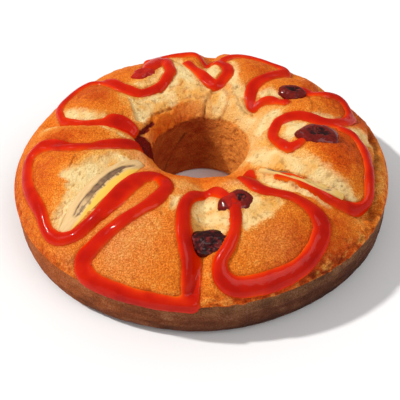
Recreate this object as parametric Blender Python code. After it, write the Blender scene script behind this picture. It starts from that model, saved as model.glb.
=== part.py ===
"""Ring cake with fruit and a poured red glaze.

A plain tube-tin cake: nearly straight wall, domed and cracked crust, a round hole
through the middle.  The glaze is fused to the crust.  Each piece of fruit sits in
its own pocket with a thin gap round it.  Lengths are in millimetres until the last step.
The origin is the middle of the flat bottom, +Z is up and -Y is the front.
"""
import math

import bmesh
import bpy
import numpy as np
from mathutils import Matrix, Vector

MM = 0.001

# Driving dimensions, millimetres
OUTER_RADIUS = 125.0
WALL_RADIUS = 124.0
EDGE_HEIGHT = 28.0
HOLE_RADIUS = 31.0
HOLE_BOTTOM_RADIUS = 30.0
HOLE_EDGE_HEIGHT = 38.0
BOTTOM_FILLET = 8.5
HOLE_FILLET = 3.0
CREST_HEIGHT = 61.0
GLAZE_HEIGHT = 2.5
GLAZE_SINK = 2.6
GLAZE_STEP = 8.5
BANANA_THICK = 5.0
BANANA_STEP = 8.0
NODE_GAP = 0.55

# The crust bulges out and in by a little all round, from this radius outward
RIM_WAVE = 0.7
RIM_WAVE_START = 60.0
# Under its edge the crust stands proud of the wall
EDGE_SET_BACK = 0.8
EDGE_SET_BACK_RUN = 2.0
WALL_LEDGE = 0.2
WALL_LEDGE_DROP = 2.0
WALL_MIDDLE = 17.0
# Turns of the arc between wall and bottom, degrees
BOTTOM_ARC = (30.0, 60.0, 90.0)
# Steps of the slightly widening hole wall: more radius, height
HOLE_STEPS = ((0.4, 15.0), (0.7, 27.0))
# The relief grows from the hole wall and dies out at the crust edge, mm along the crust
RELIEF_START = -4.0
RELIEF_RUN_IN = 12.0
RELIEF_RUN_OUT = 7.0
CREASE_POWER = 1.6

# Section of a run of glaze: share of the width across, share of the height or of the sink
GLAZE_SECTION = [(-0.52, -0.3), (-0.34, 0.75), (0.0, 1.0), (0.34, 0.75), (0.52, -0.3), (0.0, -1.1)]
GLAZE_END = 0.55
# Section of a banana slice: top as shares of width and rise, then flat underneath
BANANA_TOP = [(-0.5, 0.15), (-0.33, 0.85), (-0.1, 1.0), (0.12, 1.0), (0.34, 0.8), (0.5, 0.1)]
BANANA_UNDER = (0.4, 0.0, -0.4)

# Shape of a piece of fruit: rows and points round, waves round it, and the torn dent on top
FRUIT_ROWS = 9
FRUIT_COUNT = 16
FRUIT_WAVE_THREE = 0.05
FRUIT_WAVE_FIVE = 0.04
FRUIT_DENT = 0.35
DENT_OFF = 0.1
DENT_SPREAD = 0.12
DENT_AT_TOP = 0.9

# Weld distances tried in turn, metres; the first that leaves the mesh closed is kept
WELD_REACHES = (0.0001, 0.00008, 0.00006, 0.00004, 0.00003, 0.00002, 0.00001)

# Mesh density
TURNS = 100
DOME_STEPS = 13

# Section of the dome, radius and height, from the hole edge over the crest to the crust edge
DOME_SECTION = [
    (HOLE_RADIUS, HOLE_EDGE_HEIGHT), (33.5, 46.0), (42.0, 55.0), (58.0, 60.5),
    (78.0, CREST_HEIGHT), (97.0, 55.5), (111.0, 45.5), (120.5, 35.5),
    (OUTER_RADIUS, EDGE_HEIGHT),
]

# Creases between the swollen parts of the crust.
# Each has a depth, a half width and a path of (degrees round the ring, mm along the crust
# outward from the hole edge).
CREASES = [
    (6.0, 7.5, [(272, 26), (272, 44), (271, 62), (270, 78)]),
    (6.0, 5.5, [(270, 78), (268, 96), (266, 112)]),
    (3.0, 8.0, [(238, 28), (233.5, 48), (233, 70), (231, 92), (232, 108)]),
    (4.0, 12.0, [(216, 26), (219, 45), (221, 66), (222, 88)]),
    (2.5, 5.0, [(188, 14), (193, 36), (188, 58), (183, 78)]),
    (6.0, 4.5, [(186, 4), (172, 20), (169, 38), (171, 54), (169, 72), (163, 92)]),
    (3.5, 6.0, [(118, 36), (134, 40), (137, 60), (134, 84)]),
    (3.0, 5.5, [(97, 68), (88, 42), (74, 29), (71, 46), (78, 64)]),
    (3.5, 6.0, [(43, 78), (49, 56), (49, 40), (38, 24)]),
    (4.5, 6.5, [(36, 102), (29, 78), (27, 60), (30, 46), (33, 24)]),
    (3.5, 7.5, [(16, 98), (5, 76), (3, 58), (8, 44), (6, 32), (348, 29)]),
    (8.0, 9.0, [(304, 20), (310, 40), (315, 60), (319, 78), (325, 96), (331, 112)]),
    (3.0, 4.0, [(8, 108), (2, 100), (357, 90)]),
    (8.5, 5.0, [(85.5, 58), (84.5, 74), (83, 94)]),
    (4.0, 5.0, [(38, 98), (35, 112)]),
    (3.0, 3.5, [(12, 111), (0, 106), (348, 102), (340, 105), (333, 112)]),
]

# Swollen parts of the crust: degrees, mm along the crust, half length out, half length round, rise
SWELLS = [
    (249, 80, 26, 24, 2.5),
    (294, 80, 24, 24, 2.5),
    (199, 68, 24, 18, 2.5),
    (177, 68, 26, 8, 2.0),
    (153, 58, 20, 18, 2.0),
    (121, 54, 16, 14, 1.0),
    (60, 54, 20, 18, 1.5),
    (18, 74, 18, 14, 3.5),
    (56, 94, 16, 22, -4.0),
    (340, 66, 30, 17, 5.5),
    (318, 96, 14, 12, 1.0),
    (110, 92, 16, 16, -3.5),
    (36, 104, 10, 8, -3.0),
    (26, 108, 8, 10, -2.0),
    (15, 74, 16, 13, -5.0),
    (352, 116, 7, 26, 1.5),
]

# Poured glaze: each stroke is a path of (degrees, mm along the crust, width in mm)
GLAZE = {
    "left_loop": [
        (186, 13, 7), (191.5, 35, 9), (192, 57, 10), (182.5, 79, 10), (183, 96, 11),
        (194.5, 100, 11), (208, 99, 10), (218.5, 104, 9), (225, 96, 10), (229, 78, 10),
        (230.5, 60, 15), (229.5, 47, 14), (229.5, 37, 12), (236.5, 27, 9), (249.5, 40, 9),
        (248.5, 55, 11), (244.5, 65, 9), (239.5, 77, 10), (234.5, 93, 12), (232.5, 106, 13),
        (237.5, 114, 13), (247, 116, 13), (258, 117, 12), (266, 118, 11)],
    "front_loop": [
        (266, 119, 10), (266, 105, 12), (266, 91, 12), (264, 78, 11), (262.5, 66, 9),
        (262.5, 54, 8), (267, 43, 8), (275.5, 38, 8), (281.5, 49, 7), (283.5, 59, 7),
        (282.5, 69, 7), (280.5, 77, 7), (278, 84, 8), (275, 91, 9), (274.5, 97, 10),
        (275.5, 103, 12), (279.5, 108, 13), (289.5, 109, 14), (298, 107, 13),
        (305.5, 100, 13), (310.5, 91, 13), (311.5, 78, 12), (309, 67, 10), (304, 60, 8),
        (299, 52, 9), (301, 38, 10), (310, 22, 9)],
    "right_run": [
        (316, 44, 3), (318.5, 53, 4), (319.5, 60, 4), (321, 71, 5), (322.5, 83, 6),
        (325.5, 94, 8), (329.5, 103, 10), (333.5, 104, 11), (337, 98, 10), (344, 93, 10),
        (350, 90, 10), (356, 84, 9), (359, 75, 8)],
    "right_bow": [
        (13, 92, 9), (8, 82, 9), (4, 64, 9), (10, 46, 8), (8, 32, 8), (354, 27, 7),
        (338, 36, 8), (334, 43, 8), (340, 48, 6)],
    "right_back": [
        (2.5, 70, 7), (8, 82, 8), (14, 93, 10), (17.5, 92, 10), (21.5, 89, 10), (22.5, 83, 9),
        (24, 75, 9), (27.5, 68, 9), (30, 62, 7)],
    "back_hook": [
        (77, 66, 7), (68, 76, 8), (57, 78, 8), (47.5, 76, 9), (48.5, 58, 9),
        (50.5, 43, 9), (47.5, 33, 8), (41, 25, 6)],
    "back_drop": [(39, 26, 5), (36, 35, 6), (31, 41, 7), (24, 44, 8)],
    "back_bow": [
        (79, 62, 8), (73.5, 55, 8), (71, 45, 8), (75, 33, 8), (83, 38, 8), (90, 50, 7),
        (94.5, 62, 7)],
    "back_edge": [(84, 68, 7), (93, 76, 8), (106, 78, 8), (112, 74, 8)],
    "left_back": [
        (104, 68, 7), (105, 56, 8), (106, 48, 8), (115, 38, 8), (131, 38.5, 8), (136, 52, 9),
        (135.5, 66, 9), (137, 78, 9), (145, 85, 9), (157, 85, 8), (165.5, 78, 6)],
    "back_pool": [(107, 76, 8), (109, 68, 12), (112.5, 62, 14), (116, 57, 10)],
    "left_crack": [
        (166, 77, 5), (169.5, 60, 4), (168.5, 46, 5), (165.5, 38, 9), (166.5, 30, 11),
        (169, 22, 8)],
}

# Fruit: degrees, mm along the crust, turn in degrees from the outward direction,
# length, width and height of the piece, and how far its middle is sunk under the crust
FRUIT = {
    "cherry_right": (346.8, 56.0, 4, 28.0, 20.0, 13.0, 1.6),
    "cherry_back": (31.0, 55.5, -42, 20.0, 15.0, 12.0, 1.5),
    "cherry_front": (285.3, 55.5, 97, 23.0, 18.0, 12.0, 3.2),
    "cherry_dark": (272.3, 79.5, 0, 16.5, 30.0, 14.0, 0.0),
    "cherry_back_left": (120.5, 54, 85, 19.0, 13.0, 11.0, 2.5),
}
# Fruit squeezed narrower toward the rim, and how square its outline is (1 is round)
FRUIT_TAPER = {"cherry_dark": 0.32, "cherry_right": -0.28, "cherry_front": -0.25}
FRUIT_SQUARE = {"cherry_dark": 0.75}

# Banana slices, each laid along a path of (degrees, mm along the crust, width of the slice)
BANANA = {
    "banana_left": [
        (212, 23, 8), (214.5, 36, 16), (217.5, 54, 20), (219.5, 72, 19), (220.5, 90, 13),
        (220.5, 98, 6)],
    "banana_right": [
        (314.5, 31, 4), (318.5, 46, 5), (321, 59, 5.5), (322.5, 69, 5.5), (324.5, 79, 5),
        (326.5, 88, 4)],
}
BANANA_RISE = {"banana_left": 1.2, "banana_right": 1.0}

# Colour and roughness of each node
LOOKS = {
    "cake": ((0.62, 0.27, 0.06), 0.72),
    "banana_left": ((0.80, 0.66, 0.36), 0.5),
    "banana_right": ((0.72, 0.58, 0.30), 0.5),
    "cherry_right": ((0.17, 0.012, 0.02), 0.25),
    "cherry_back": ((0.13, 0.01, 0.02), 0.25),
    "cherry_front": ((0.20, 0.01, 0.02), 0.25),
    "cherry_dark": ((0.045, 0.004, 0.012), 0.15),
    "cherry_back_left": ((0.24, 0.012, 0.02), 0.25),
}


def smooth_path(points, step):
    """Catmull-Rom curve through rows of numbers, resampled at even steps of its first three."""
    rows = [np.array(p, float) for p in points]
    rows = [2 * rows[0] - rows[1]] + rows + [2 * rows[-1] - rows[-2]]
    fine = []
    for k in range(1, len(rows) - 2):
        a, b, c, d = rows[k - 1:k + 3]
        for t in np.linspace(0.0, 1.0, 24, endpoint=False):
            fine.append(0.5 * (2 * b + (c - a) * t + (2 * a - 5 * b + 4 * c - d) * t ** 2
                               + (3 * b - a - 3 * c + d) * t ** 3))
    fine.append(rows[-2])
    fine = np.array(fine)
    if step is None:
        return fine
    axes = min(3, fine.shape[1])
    gaps = np.linalg.norm(np.diff(fine[:, :axes], axis=0), axis=1)
    run = np.concatenate([[0.0], np.cumsum(gaps)])
    count = max(2, int(round(run[-1] / step)) + 1)
    marks = np.linspace(0.0, run[-1], count)
    return np.stack([np.interp(marks, run, fine[:, k]) for k in range(fine.shape[1])], axis=1)


DOME = smooth_path(DOME_SECTION, None)
DOME_RUN = np.concatenate([[0.0], np.cumsum(np.linalg.norm(np.diff(DOME, axis=0), axis=1))])
DOME_LENGTH = DOME_RUN[-1]


def section(s):
    """Radius and height of the plain section at s mm along the crust; below 0 is the hole
    wall and beyond the dome length is the outer wall."""
    s = np.asarray(s, float)
    r = np.interp(s, DOME_RUN, DOME[:, 0])
    z = np.interp(s, DOME_RUN, DOME[:, 1])
    over = np.clip(s - DOME_LENGTH, 0.0, None)
    under = np.clip(-s, 0.0, None)
    r = r - np.clip(over / EDGE_SET_BACK_RUN, 0.0, 1.0) * EDGE_SET_BACK
    r = r - (HOLE_RADIUS - HOLE_BOTTOM_RADIUS) * under / HOLE_EDGE_HEIGHT
    return r, z - over - under


def base_point(deg, s):
    r, z = section(s)
    a = np.radians(deg)
    wave = RIM_WAVE * np.sin(2 * a) * np.sin(5 * a + 1.0) * np.clip(r / RIM_WAVE_START - 1.0, 0.0, 1.0)
    r = r + wave
    return np.stack([r * np.cos(a), r * np.sin(a), z], axis=-1)


def base_normal(deg, s):
    r0, z0 = section(np.asarray(s, float) - 1.5)
    r1, z1 = section(np.asarray(s, float) + 1.5)
    a = np.radians(deg)
    length = np.hypot(r1 - r0, z1 - z0)
    nr = -(z1 - z0) / length
    nz = (r1 - r0) / length
    return np.stack([nr * np.cos(a), nr * np.sin(a), nz], axis=-1)


def path_distance(points, path):
    """Shortest distance from each point to a run of straight pieces."""
    best = np.full(len(points), 1e9)
    for a, b in zip(path[:-1], path[1:]):
        d = b - a
        t = np.clip(((points - a) @ d) / max(float(d @ d), 1e-9), 0.0, 1.0)
        best = np.minimum(best, np.linalg.norm(points - a - t[:, None] * d, axis=1))
    return best


def ring_step(deg, start):
    """Signed turn from start to deg, between -180 and 180."""
    return (np.asarray(deg) - start + 180.0) % 360.0 - 180.0


def unwrap(path):
    """Let the angle run past 0 or 360 instead of jumping."""
    out = [list(path[0])]
    for row in path[1:]:
        row = list(row)
        row[0] = out[-1][0] + float(ring_step(row[0], out[-1][0]))
        out.append(row)
    return out


CREASE_PATHS = []
for depth, half_width, path in CREASES:
    bends = smooth_path(unwrap(path), None)[::8]
    CREASE_PATHS.append((depth, half_width, base_point(bends[:, 0], bends[:, 1])))


def fade(s):
    """Relief dies out at the crust edge and a little inside the hole."""
    outer = np.clip((DOME_LENGTH - 1.0 - s) / RELIEF_RUN_OUT, 0.0, 1.0)
    inner = np.clip((s - RELIEF_START) / RELIEF_RUN_IN, 0.0, 1.0)
    outer = outer * outer * (3 - 2 * outer)
    inner = inner * inner * (3 - 2 * inner)
    return outer * inner


def relief(deg, s):
    """Height of the crust over the plain section, along its normal."""
    deg = np.atleast_1d(np.asarray(deg, float))
    s = np.atleast_1d(np.asarray(s, float))
    points = base_point(deg, s)
    h = np.zeros(len(deg))
    for depth, half_width, path in CREASE_PATHS:
        d = path_distance(points, path) / half_width
        h -= depth * np.exp(-d ** CREASE_POWER)
    radius = section(s)[0]
    for at, along, out, round_, rise in SWELLS:
        u = (s - along) / out
        v = np.radians(ring_step(deg, at)) * radius / round_
        h += rise * np.exp(-(u * u + v * v))
    return h * fade(s)


def crust_point(deg, s, lift=0.0):
    deg = np.atleast_1d(np.asarray(deg, float))
    s = np.atleast_1d(np.asarray(s, float))
    n = base_normal(deg, s)
    return base_point(deg, s) + n * (relief(deg, s) + lift)[:, None]


def crust_normal(deg, s):
    """Normal of the crust with its relief, by small steps round and along."""
    along = crust_point(deg, np.asarray(s) + 2.0) - crust_point(deg, np.asarray(s) - 2.0)
    across = crust_point(np.asarray(deg) + 1.5, s) - crust_point(np.asarray(deg) - 1.5, s)
    n = np.cross(along, across)
    return n / np.linalg.norm(n, axis=1)[:, None]


def make_object(name, verts, faces):
    mesh = bpy.data.meshes.new(name)
    mesh.from_pydata([tuple(float(c) * MM for c in v) for v in verts], [], faces)
    mesh.update()
    bm = bmesh.new()
    bm.from_mesh(mesh)
    bmesh.ops.recalc_face_normals(bm, faces=bm.faces)
    bm.to_mesh(mesh)
    bm.free()
    obj = bpy.data.objects.new(name, mesh)
    bpy.context.scene.collection.objects.link(obj)
    return obj


def loft(rings, caps=True):
    """Faces joining equal rings of points in order, with flat end caps."""
    count = len(rings[0])
    verts = [p for ring in rings for p in ring]
    faces = []
    for k in range(len(rings) - 1):
        for j in range(count):
            a = k * count + j
            b = k * count + (j + 1) % count
            faces.append((a, b, b + count))
            faces.append((a, b + count, a + count))
    if caps:
        faces.append(tuple(range(count))[::-1])
        faces.append(tuple((len(rings) - 1) * count + j for j in range(count)))
    return verts, faces


def build_cake_body():
    """The ring itself: rows of points round the ring, one closed loop of section each."""
    down = [
        (WALL_RADIUS + WALL_LEDGE, EDGE_HEIGHT - WALL_LEDGE_DROP), (WALL_RADIUS, WALL_MIDDLE),
        (WALL_RADIUS, BOTTOM_FILLET)]
    centre = WALL_RADIUS - BOTTOM_FILLET
    for turn in BOTTOM_ARC:
        a = math.radians(turn)
        down.append((centre + BOTTOM_FILLET * math.cos(a), BOTTOM_FILLET * (1 - math.sin(a))))
    inside = [(HOLE_BOTTOM_RADIUS + HOLE_FILLET, 0.0), (HOLE_BOTTOM_RADIUS, HOLE_FILLET)]
    for more, height in HOLE_STEPS:
        inside.append((HOLE_BOTTOM_RADIUS + more, height))
    runs = np.linspace(0.0, DOME_LENGTH, DOME_STEPS + 1)
    rows = []
    for k in range(TURNS):
        deg = 360.0 * k / TURNS
        a = math.radians(deg)
        row = list(crust_point(np.full(len(runs), deg), runs))
        wave = RIM_WAVE * math.sin(2 * a) * math.sin(5 * a + 1.0)
        for r, z in down:
            row.append(((r + wave) * math.cos(a), (r + wave) * math.sin(a), z))
        for r, z in inside:
            row.append((r * math.cos(a), r * math.sin(a), z))
        rows.append(row)
    count = len(rows[0])
    verts = [p for row in rows for p in row]
    faces = []
    for k in range(TURNS):
        near = k * count
        far = ((k + 1) % TURNS) * count
        for j in range(count):
            i = (j + 1) % count
            faces.append((near + j, near + i, far + i))
            faces.append((near + j, far + i, far + j))
    return make_object("cake", verts, faces)


def build_stroke(name, path):
    """One run of glaze: a flattened rope bedded in the crust, tapered at both ends."""
    rows = smooth_path([tuple(base_point(d, s)) + (d, s, w) for d, s, w in unwrap(path)], GLAZE_STEP)
    deg, s, width = rows[:, 3], rows[:, 4], rows[:, 5]
    centre = crust_point(deg, s)
    normal = crust_normal(deg, s)
    tangent = np.gradient(centre, axis=0)
    side = np.cross(normal, tangent)
    side /= np.linalg.norm(side, axis=1)[:, None]
    rings = []
    for k in range(len(centre)):
        end = GLAZE_END if k in (0, len(centre) - 1) else 1.0
        ring = []
        for across, up in GLAZE_SECTION:
            lift = GLAZE_HEIGHT * up if up > 0 else GLAZE_SINK * -abs(up)
            point = centre[k] + side[k] * across * width[k] * end + normal[k] * lift * end
            reach = math.hypot(point[0], point[1])
            if reach > OUTER_RADIUS:
                point[:2] *= OUTER_RADIUS / reach
            ring.append(point)
        rings.append(ring)
    verts, faces = loft(rings)
    return make_object(name, verts, faces)


def piece_frame(deg, s, turn):
    """Place and axes of a piece: x outward along the crust turned about the normal."""
    centre = crust_point(deg, s)[0]
    normal = Vector(base_normal(np.array([deg]), np.array([s]))[0])
    along = crust_point(deg, s + 2.0)[0] - crust_point(deg, s - 2.0)[0]
    x = Vector(along)
    x = (x - normal * x.dot(normal)).normalized()
    x = Matrix.Rotation(math.radians(turn), 3, normal) @ x
    y = normal.cross(x)
    return np.array(centre), np.array(x), np.array(y), np.array(normal)


def squared(value, power):
    """A sine or cosine whose circle is drawn out toward a square as the power falls."""
    return math.copysign(abs(value) ** power, value)


def build_fruit(name, grow=0.0):
    """A soft round fruit: slightly lumpy ellipsoid with a torn dent in the top.
    Grown by a gap it is the pocket the fruit sits in, and has no dent."""
    deg, s, turn, length, width, height, sink = FRUIT[name]
    taper = FRUIT_TAPER.get(name, 0.0)
    square = FRUIT_SQUARE.get(name, 1.0)
    centre, x, y, n = piece_frame(deg, s, turn)
    centre = centre - n * sink
    seed = sum(ord(c) for c in name)
    rows = FRUIT_ROWS
    count = FRUIT_COUNT
    half = (length / 2 + grow, width / 2 + grow, height / 2 + grow)
    deep = FRUIT_DENT if grow == 0.0 else 0.0
    verts = []
    for k in range(1, rows):
        polar = math.pi * k / rows
        for j in range(count):
            a = 2 * math.pi * j / count
            u = math.sin(polar) * squared(math.cos(a), square)
            v = math.sin(polar) * squared(math.sin(a), square) * (1.0 - taper * u)
            w = math.cos(polar)
            lump = 1.0 + FRUIT_WAVE_THREE * math.sin(3 * a + seed)
            lump += FRUIT_WAVE_FIVE * math.sin(5 * a + 2 * polar + seed)
            away = (u - DENT_OFF) ** 2 + v * v
            dent = deep * math.exp(-away / DENT_SPREAD) if w > 0 else 0.0
            verts.append(centre + x * u * half[0] * lump + y * v * half[1] * lump
                         + n * (w - dent) * half[2])
    faces = []
    for k in range(rows - 2):
        for j in range(count):
            i = (j + 1) % count
            near, far = k * count, (k + 1) * count
            faces.append((near + j, near + i, far + i))
            faces.append((near + j, far + i, far + j))
    top = len(verts)
    verts.append(centre + n * half[2] * (1.0 - DENT_AT_TOP * deep))
    verts.append(centre - n * half[2])
    last = (rows - 2) * count
    for j in range(count):
        i = (j + 1) % count
        faces.append((top, i, j))
        faces.append((top + 1, last + j, last + i))
    return make_object(name if grow == 0.0 else name + "_pocket", verts, faces)


def build_banana(name, grow=0.0):
    """A long slice following the crust: flat underneath, gently rounded on top."""
    path = [tuple(base_point(d, s)) + (d, s, w) for d, s, w in unwrap(BANANA[name])]
    rows = smooth_path(path, BANANA_STEP)
    deg, s, width = rows[:, 3], rows[:, 4], rows[:, 5]
    normal = base_normal(deg, s)
    centre = base_point(deg, s) + normal * (np.convolve(
        np.pad(relief(deg, s), 1, mode="edge"), np.ones(3) / 3, mode="valid"))[:, None]
    tangent = np.gradient(centre, axis=0)
    side = np.cross(normal, tangent)
    side /= np.linalg.norm(side, axis=1)[:, None]
    tangent /= np.linalg.norm(tangent, axis=1)[:, None]
    rise = BANANA_RISE[name]
    rings = []
    for k in range(len(centre)):
        push = grow * (-1 if k == 0 else 1 if k == len(centre) - 1 else 0)
        ring = []
        for across, up in BANANA_TOP:
            wide = across * width[k] + math.copysign(grow, across)
            ring.append(centre[k] + side[k] * wide + normal[k] * (rise * up + grow) + tangent[k] * push)
        for across in BANANA_UNDER:
            wide = across * width[k] + (math.copysign(grow, across) if across else 0.0)
            ring.append(centre[k] + side[k] * wide - normal[k] * (BANANA_THICK - rise + grow)
                        + tangent[k] * push)
        rings.append(ring)
    verts, faces = loft(rings)
    return make_object(name if grow == 0.0 else name + "_pocket", verts, faces)


def apply_modifiers(obj):
    graph = bpy.context.evaluated_depsgraph_get()
    mesh = bpy.data.meshes.new_from_object(obj.evaluated_get(graph))
    old = obj.data
    obj.modifiers.clear()
    obj.data = mesh
    bpy.data.meshes.remove(old)


def boolean(obj, tools, operation, solver):
    """One Boolean of obj with every tool, the tools then removed."""
    group = bpy.data.collections.new(operation)
    bpy.context.scene.collection.children.link(group)
    for tool in tools:
        bpy.context.scene.collection.objects.unlink(tool)
        group.objects.link(tool)
        tool.hide_render = True
        tool.display_type = "WIRE"
    mod = obj.modifiers.new(operation, "BOOLEAN")
    mod.operation = operation
    mod.operand_type = "COLLECTION"
    mod.collection = group
    mod.solver = solver
    apply_modifiers(obj)
    for tool in list(group.objects):
        bpy.data.objects.remove(tool, do_unlink=True)
    bpy.data.collections.remove(group)


def open_edges(bm):
    return sum(1 for edge in bm.edges if not edge.is_manifold)


def keep_largest(obj):
    """Drop loose scrap, split into flat triangles and weld points that lie close together."""
    bm = bmesh.new()
    bm.from_mesh(obj.data)
    bmesh.ops.triangulate(bm, faces=bm.faces)
    bm.verts.ensure_lookup_table()
    seen = set()
    groups = []
    for start in bm.verts:
        if start in seen:
            continue
        group = [start]
        seen.add(start)
        for vert in group:
            for edge in vert.link_edges:
                other = edge.other_vert(vert)
                if other not in seen:
                    seen.add(other)
                    group.append(other)
        groups.append(group)
    groups.sort(key=len)
    for group in groups[:-1]:
        bmesh.ops.delete(bm, geom=group, context="VERTS")
    for reach in WELD_REACHES:
        trial = bm.copy()
        bmesh.ops.dissolve_degenerate(trial, edges=trial.edges, dist=reach)
        bmesh.ops.triangulate(trial, faces=trial.faces)
        if open_edges(trial) == 0:
            bm.free()
            bm = trial
            break
        trial.free()
    bm.to_mesh(obj.data)
    bm.free()


def smooth(obj):
    for face in obj.data.polygons:
        face.use_smooth = True


def give_material(obj, colour, roughness):
    mat = bpy.data.materials.new(obj.name)
    mat.use_nodes = True
    shader = mat.node_tree.nodes["Principled BSDF"]
    shader.inputs["Base Color"].default_value = (*colour, 1.0)
    shader.inputs["Roughness"].default_value = roughness
    shader.inputs["Metallic"].default_value = 0.0
    obj.data.materials.clear()
    obj.data.materials.append(mat)


for old in list(bpy.data.objects):
    bpy.data.objects.remove(old, do_unlink=True)

cake = build_cake_body()
boolean(cake, [build_stroke(name, path) for name, path in GLAZE.items()], "UNION", "MANIFOLD")
cutters = [build_fruit(name, NODE_GAP) for name in FRUIT]
cutters += [build_banana(name, NODE_GAP) for name in BANANA]
boolean(cake, cutters, "DIFFERENCE", "MANIFOLD")
keep_largest(cake)
parts = [cake]
parts += [build_fruit(name) for name in FRUIT]
parts += [build_banana(name) for name in BANANA]
for part in parts:
    give_material(part, *LOOKS[part.name])
    smooth(part)
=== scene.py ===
"""Looks of the ring cake: crust, crumb, glaze, banana slices and cherries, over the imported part."""

import math

import bpy
import numpy as np
from mathutils import Matrix, Vector


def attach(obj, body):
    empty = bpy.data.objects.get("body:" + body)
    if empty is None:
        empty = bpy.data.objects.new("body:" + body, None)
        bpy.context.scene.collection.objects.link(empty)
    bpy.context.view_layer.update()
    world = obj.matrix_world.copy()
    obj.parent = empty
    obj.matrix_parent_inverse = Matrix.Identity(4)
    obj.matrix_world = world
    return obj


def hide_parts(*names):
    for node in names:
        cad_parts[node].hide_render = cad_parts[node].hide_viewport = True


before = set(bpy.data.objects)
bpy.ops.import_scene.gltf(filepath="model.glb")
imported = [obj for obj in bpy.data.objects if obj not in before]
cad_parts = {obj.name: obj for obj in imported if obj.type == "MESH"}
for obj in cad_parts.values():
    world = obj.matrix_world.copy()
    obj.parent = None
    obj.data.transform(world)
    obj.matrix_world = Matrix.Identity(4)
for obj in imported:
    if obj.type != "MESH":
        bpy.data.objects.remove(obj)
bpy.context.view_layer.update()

MM = 0.001

# Section of the ring, the same as the part's, millimetres
OUTER_RADIUS = 125.0
WALL_RADIUS = 124.0
EDGE_HEIGHT = 28.0
HOLE_RADIUS = 31.0
HOLE_BOTTOM_RADIUS = 30.0
HOLE_EDGE_HEIGHT = 38.0
BOTTOM_FILLET = 8.5
HOLE_FILLET = 3.0
CREST_HEIGHT = 61.0
RIM_WAVE = 0.7
RIM_WAVE_START = 60.0
EDGE_SET_BACK = 0.8
EDGE_SET_BACK_RUN = 2.0
RELIEF_START = -4.0
RELIEF_RUN_IN = 12.0
RELIEF_RUN_OUT = 7.0
CREASE_POWER = 1.6
GLAZE_HEIGHT = 2.5
FRUIT_DENT = 0.35
FRUIT_POCKET = 3.0

# Mesh density of the looks: steps round the ring, and between rows in mm
TURNS = 700
CRUST_STEP = 0.92
WALL_STEP = 0.8
HOLE_STEP = 1.2
GLAZE_TURNS = 720
GLAZE_STEP = 0.75
GLAZE_PATH_STEP = 2.0
FRUIT_ROWS = 72
FRUIT_TURNS = 110
BANANA_STEP = 0.8
BANANA_TURNS = 41
# Where the crust's mesh ends in the hole, and rings of the flat bottom, mm
HOLE_START = -3.0
BOTTOM_RINGS = (105.0, 90.0, 75.0, 60.0, 48.0, 40.0)
MIDDLE_RADIUS = 60.0
WAVY_FROM = 110.0

# Fine relief and edges of the crust, mm
FAR = 1e9
NORMAL_REACH = 1.5
OUTLINE_REACH = 16.0
STRIP_REACH = 14.0
STRIP_NARROWER = 0.6
CRACK_REACH = 8.0
CRACK_WANDER = 1.2
JAM_REACH = 12.0
PALE_LIP = 5.5
CRUMB_DROP = 0.7
LIP_RISE = 0.6
UNDER_GLAZE = 0.4
# Width of the band along the glaze edges: soaked juice and painted shade
SOAKED_AND_SHADED_WIDTH = 1.0
HOLE_LOOKS_END = 25.0
CRUST_SPARE = 0.3
# Skin of the glaze, mm: how deep it ends in the crust, its spare reach, how far out it is sought,
# where its grid starts and how far past the rim that runs
GLAZE_SINK = 1.6
GLAZE_SPARE = 1.4
GLAZE_NEAR = 11.0
GLAZE_FROM = -6.0
GLAZE_PAST_RIM = 12.0
# Half width from which a string has its full height, mm, and how steeply its edge goes down
GLAZE_FULL_HALF = 4.5
GLAZE_EDGE_SLOPE = 1.6
# Bearings in degrees: the craggiest rim, the wall's sides with painted shade and painted light, the
# hole's lit side, away from which its wall is painted in shade
CRAGGY_SIDE = 300.0
WALL_SHADED_SIDE = 330.0
WALL_LIT_SIDE = 205.0
HOLE_LIT_SIDE = 8.0

# The dome from the hole's edge to the rim: radius, height
DOME_SECTION = [
    (HOLE_RADIUS, HOLE_EDGE_HEIGHT), (33.5, 46.0), (42.0, 55.0), (58.0, 60.5),
    (78.0, CREST_HEIGHT), (97.0, 55.5), (111.0, 45.5), (120.5, 35.5),
    (OUTER_RADIUS, EDGE_HEIGHT),
]

# Creases of the crust: depth, half width, path of (degrees, mm along the crust)
CREASES = [
    (6.0, 7.5, [(272, 26), (272, 44), (271, 62), (270, 78)]),
    (6.0, 5.5, [(270, 78), (268, 96), (266, 112)]),
    (3.0, 8.0, [(238, 28), (233.5, 48), (233, 70), (231, 92), (232, 108)]),
    (4.0, 12.0, [(216, 26), (219, 45), (221, 66), (222, 88)]),
    (2.5, 5.0, [(188, 14), (193, 36), (188, 58), (183, 78)]),
    (6.0, 4.5, [(186, 4), (172, 20), (169, 38), (171, 54), (169, 72), (163, 92)]),
    (3.5, 6.0, [(118, 36), (134, 40), (137, 60), (134, 84)]),
    (3.0, 5.5, [(97, 68), (88, 42), (74, 29), (71, 46), (78, 64)]),
    (3.5, 6.0, [(43, 78), (49, 56), (49, 40), (38, 24)]),
    (4.5, 6.5, [(36, 102), (29, 78), (27, 60), (30, 46), (33, 24)]),
    (3.5, 7.5, [(16, 98), (5, 76), (3, 58), (8, 44), (6, 32), (348, 29)]),
    (8.0, 9.0, [(304, 20), (310, 40), (315, 60), (319, 78), (325, 96), (331, 112)]),
    (3.0, 4.0, [(8, 108), (2, 100), (357, 90)]),
    (8.5, 5.0, [(85.5, 58), (84.5, 74), (83, 94)]),
    (4.0, 5.0, [(38, 98), (35, 112)]),
    (3.0, 3.5, [(12, 111), (0, 106), (348, 102), (340, 105), (333, 112)]),
]

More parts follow.
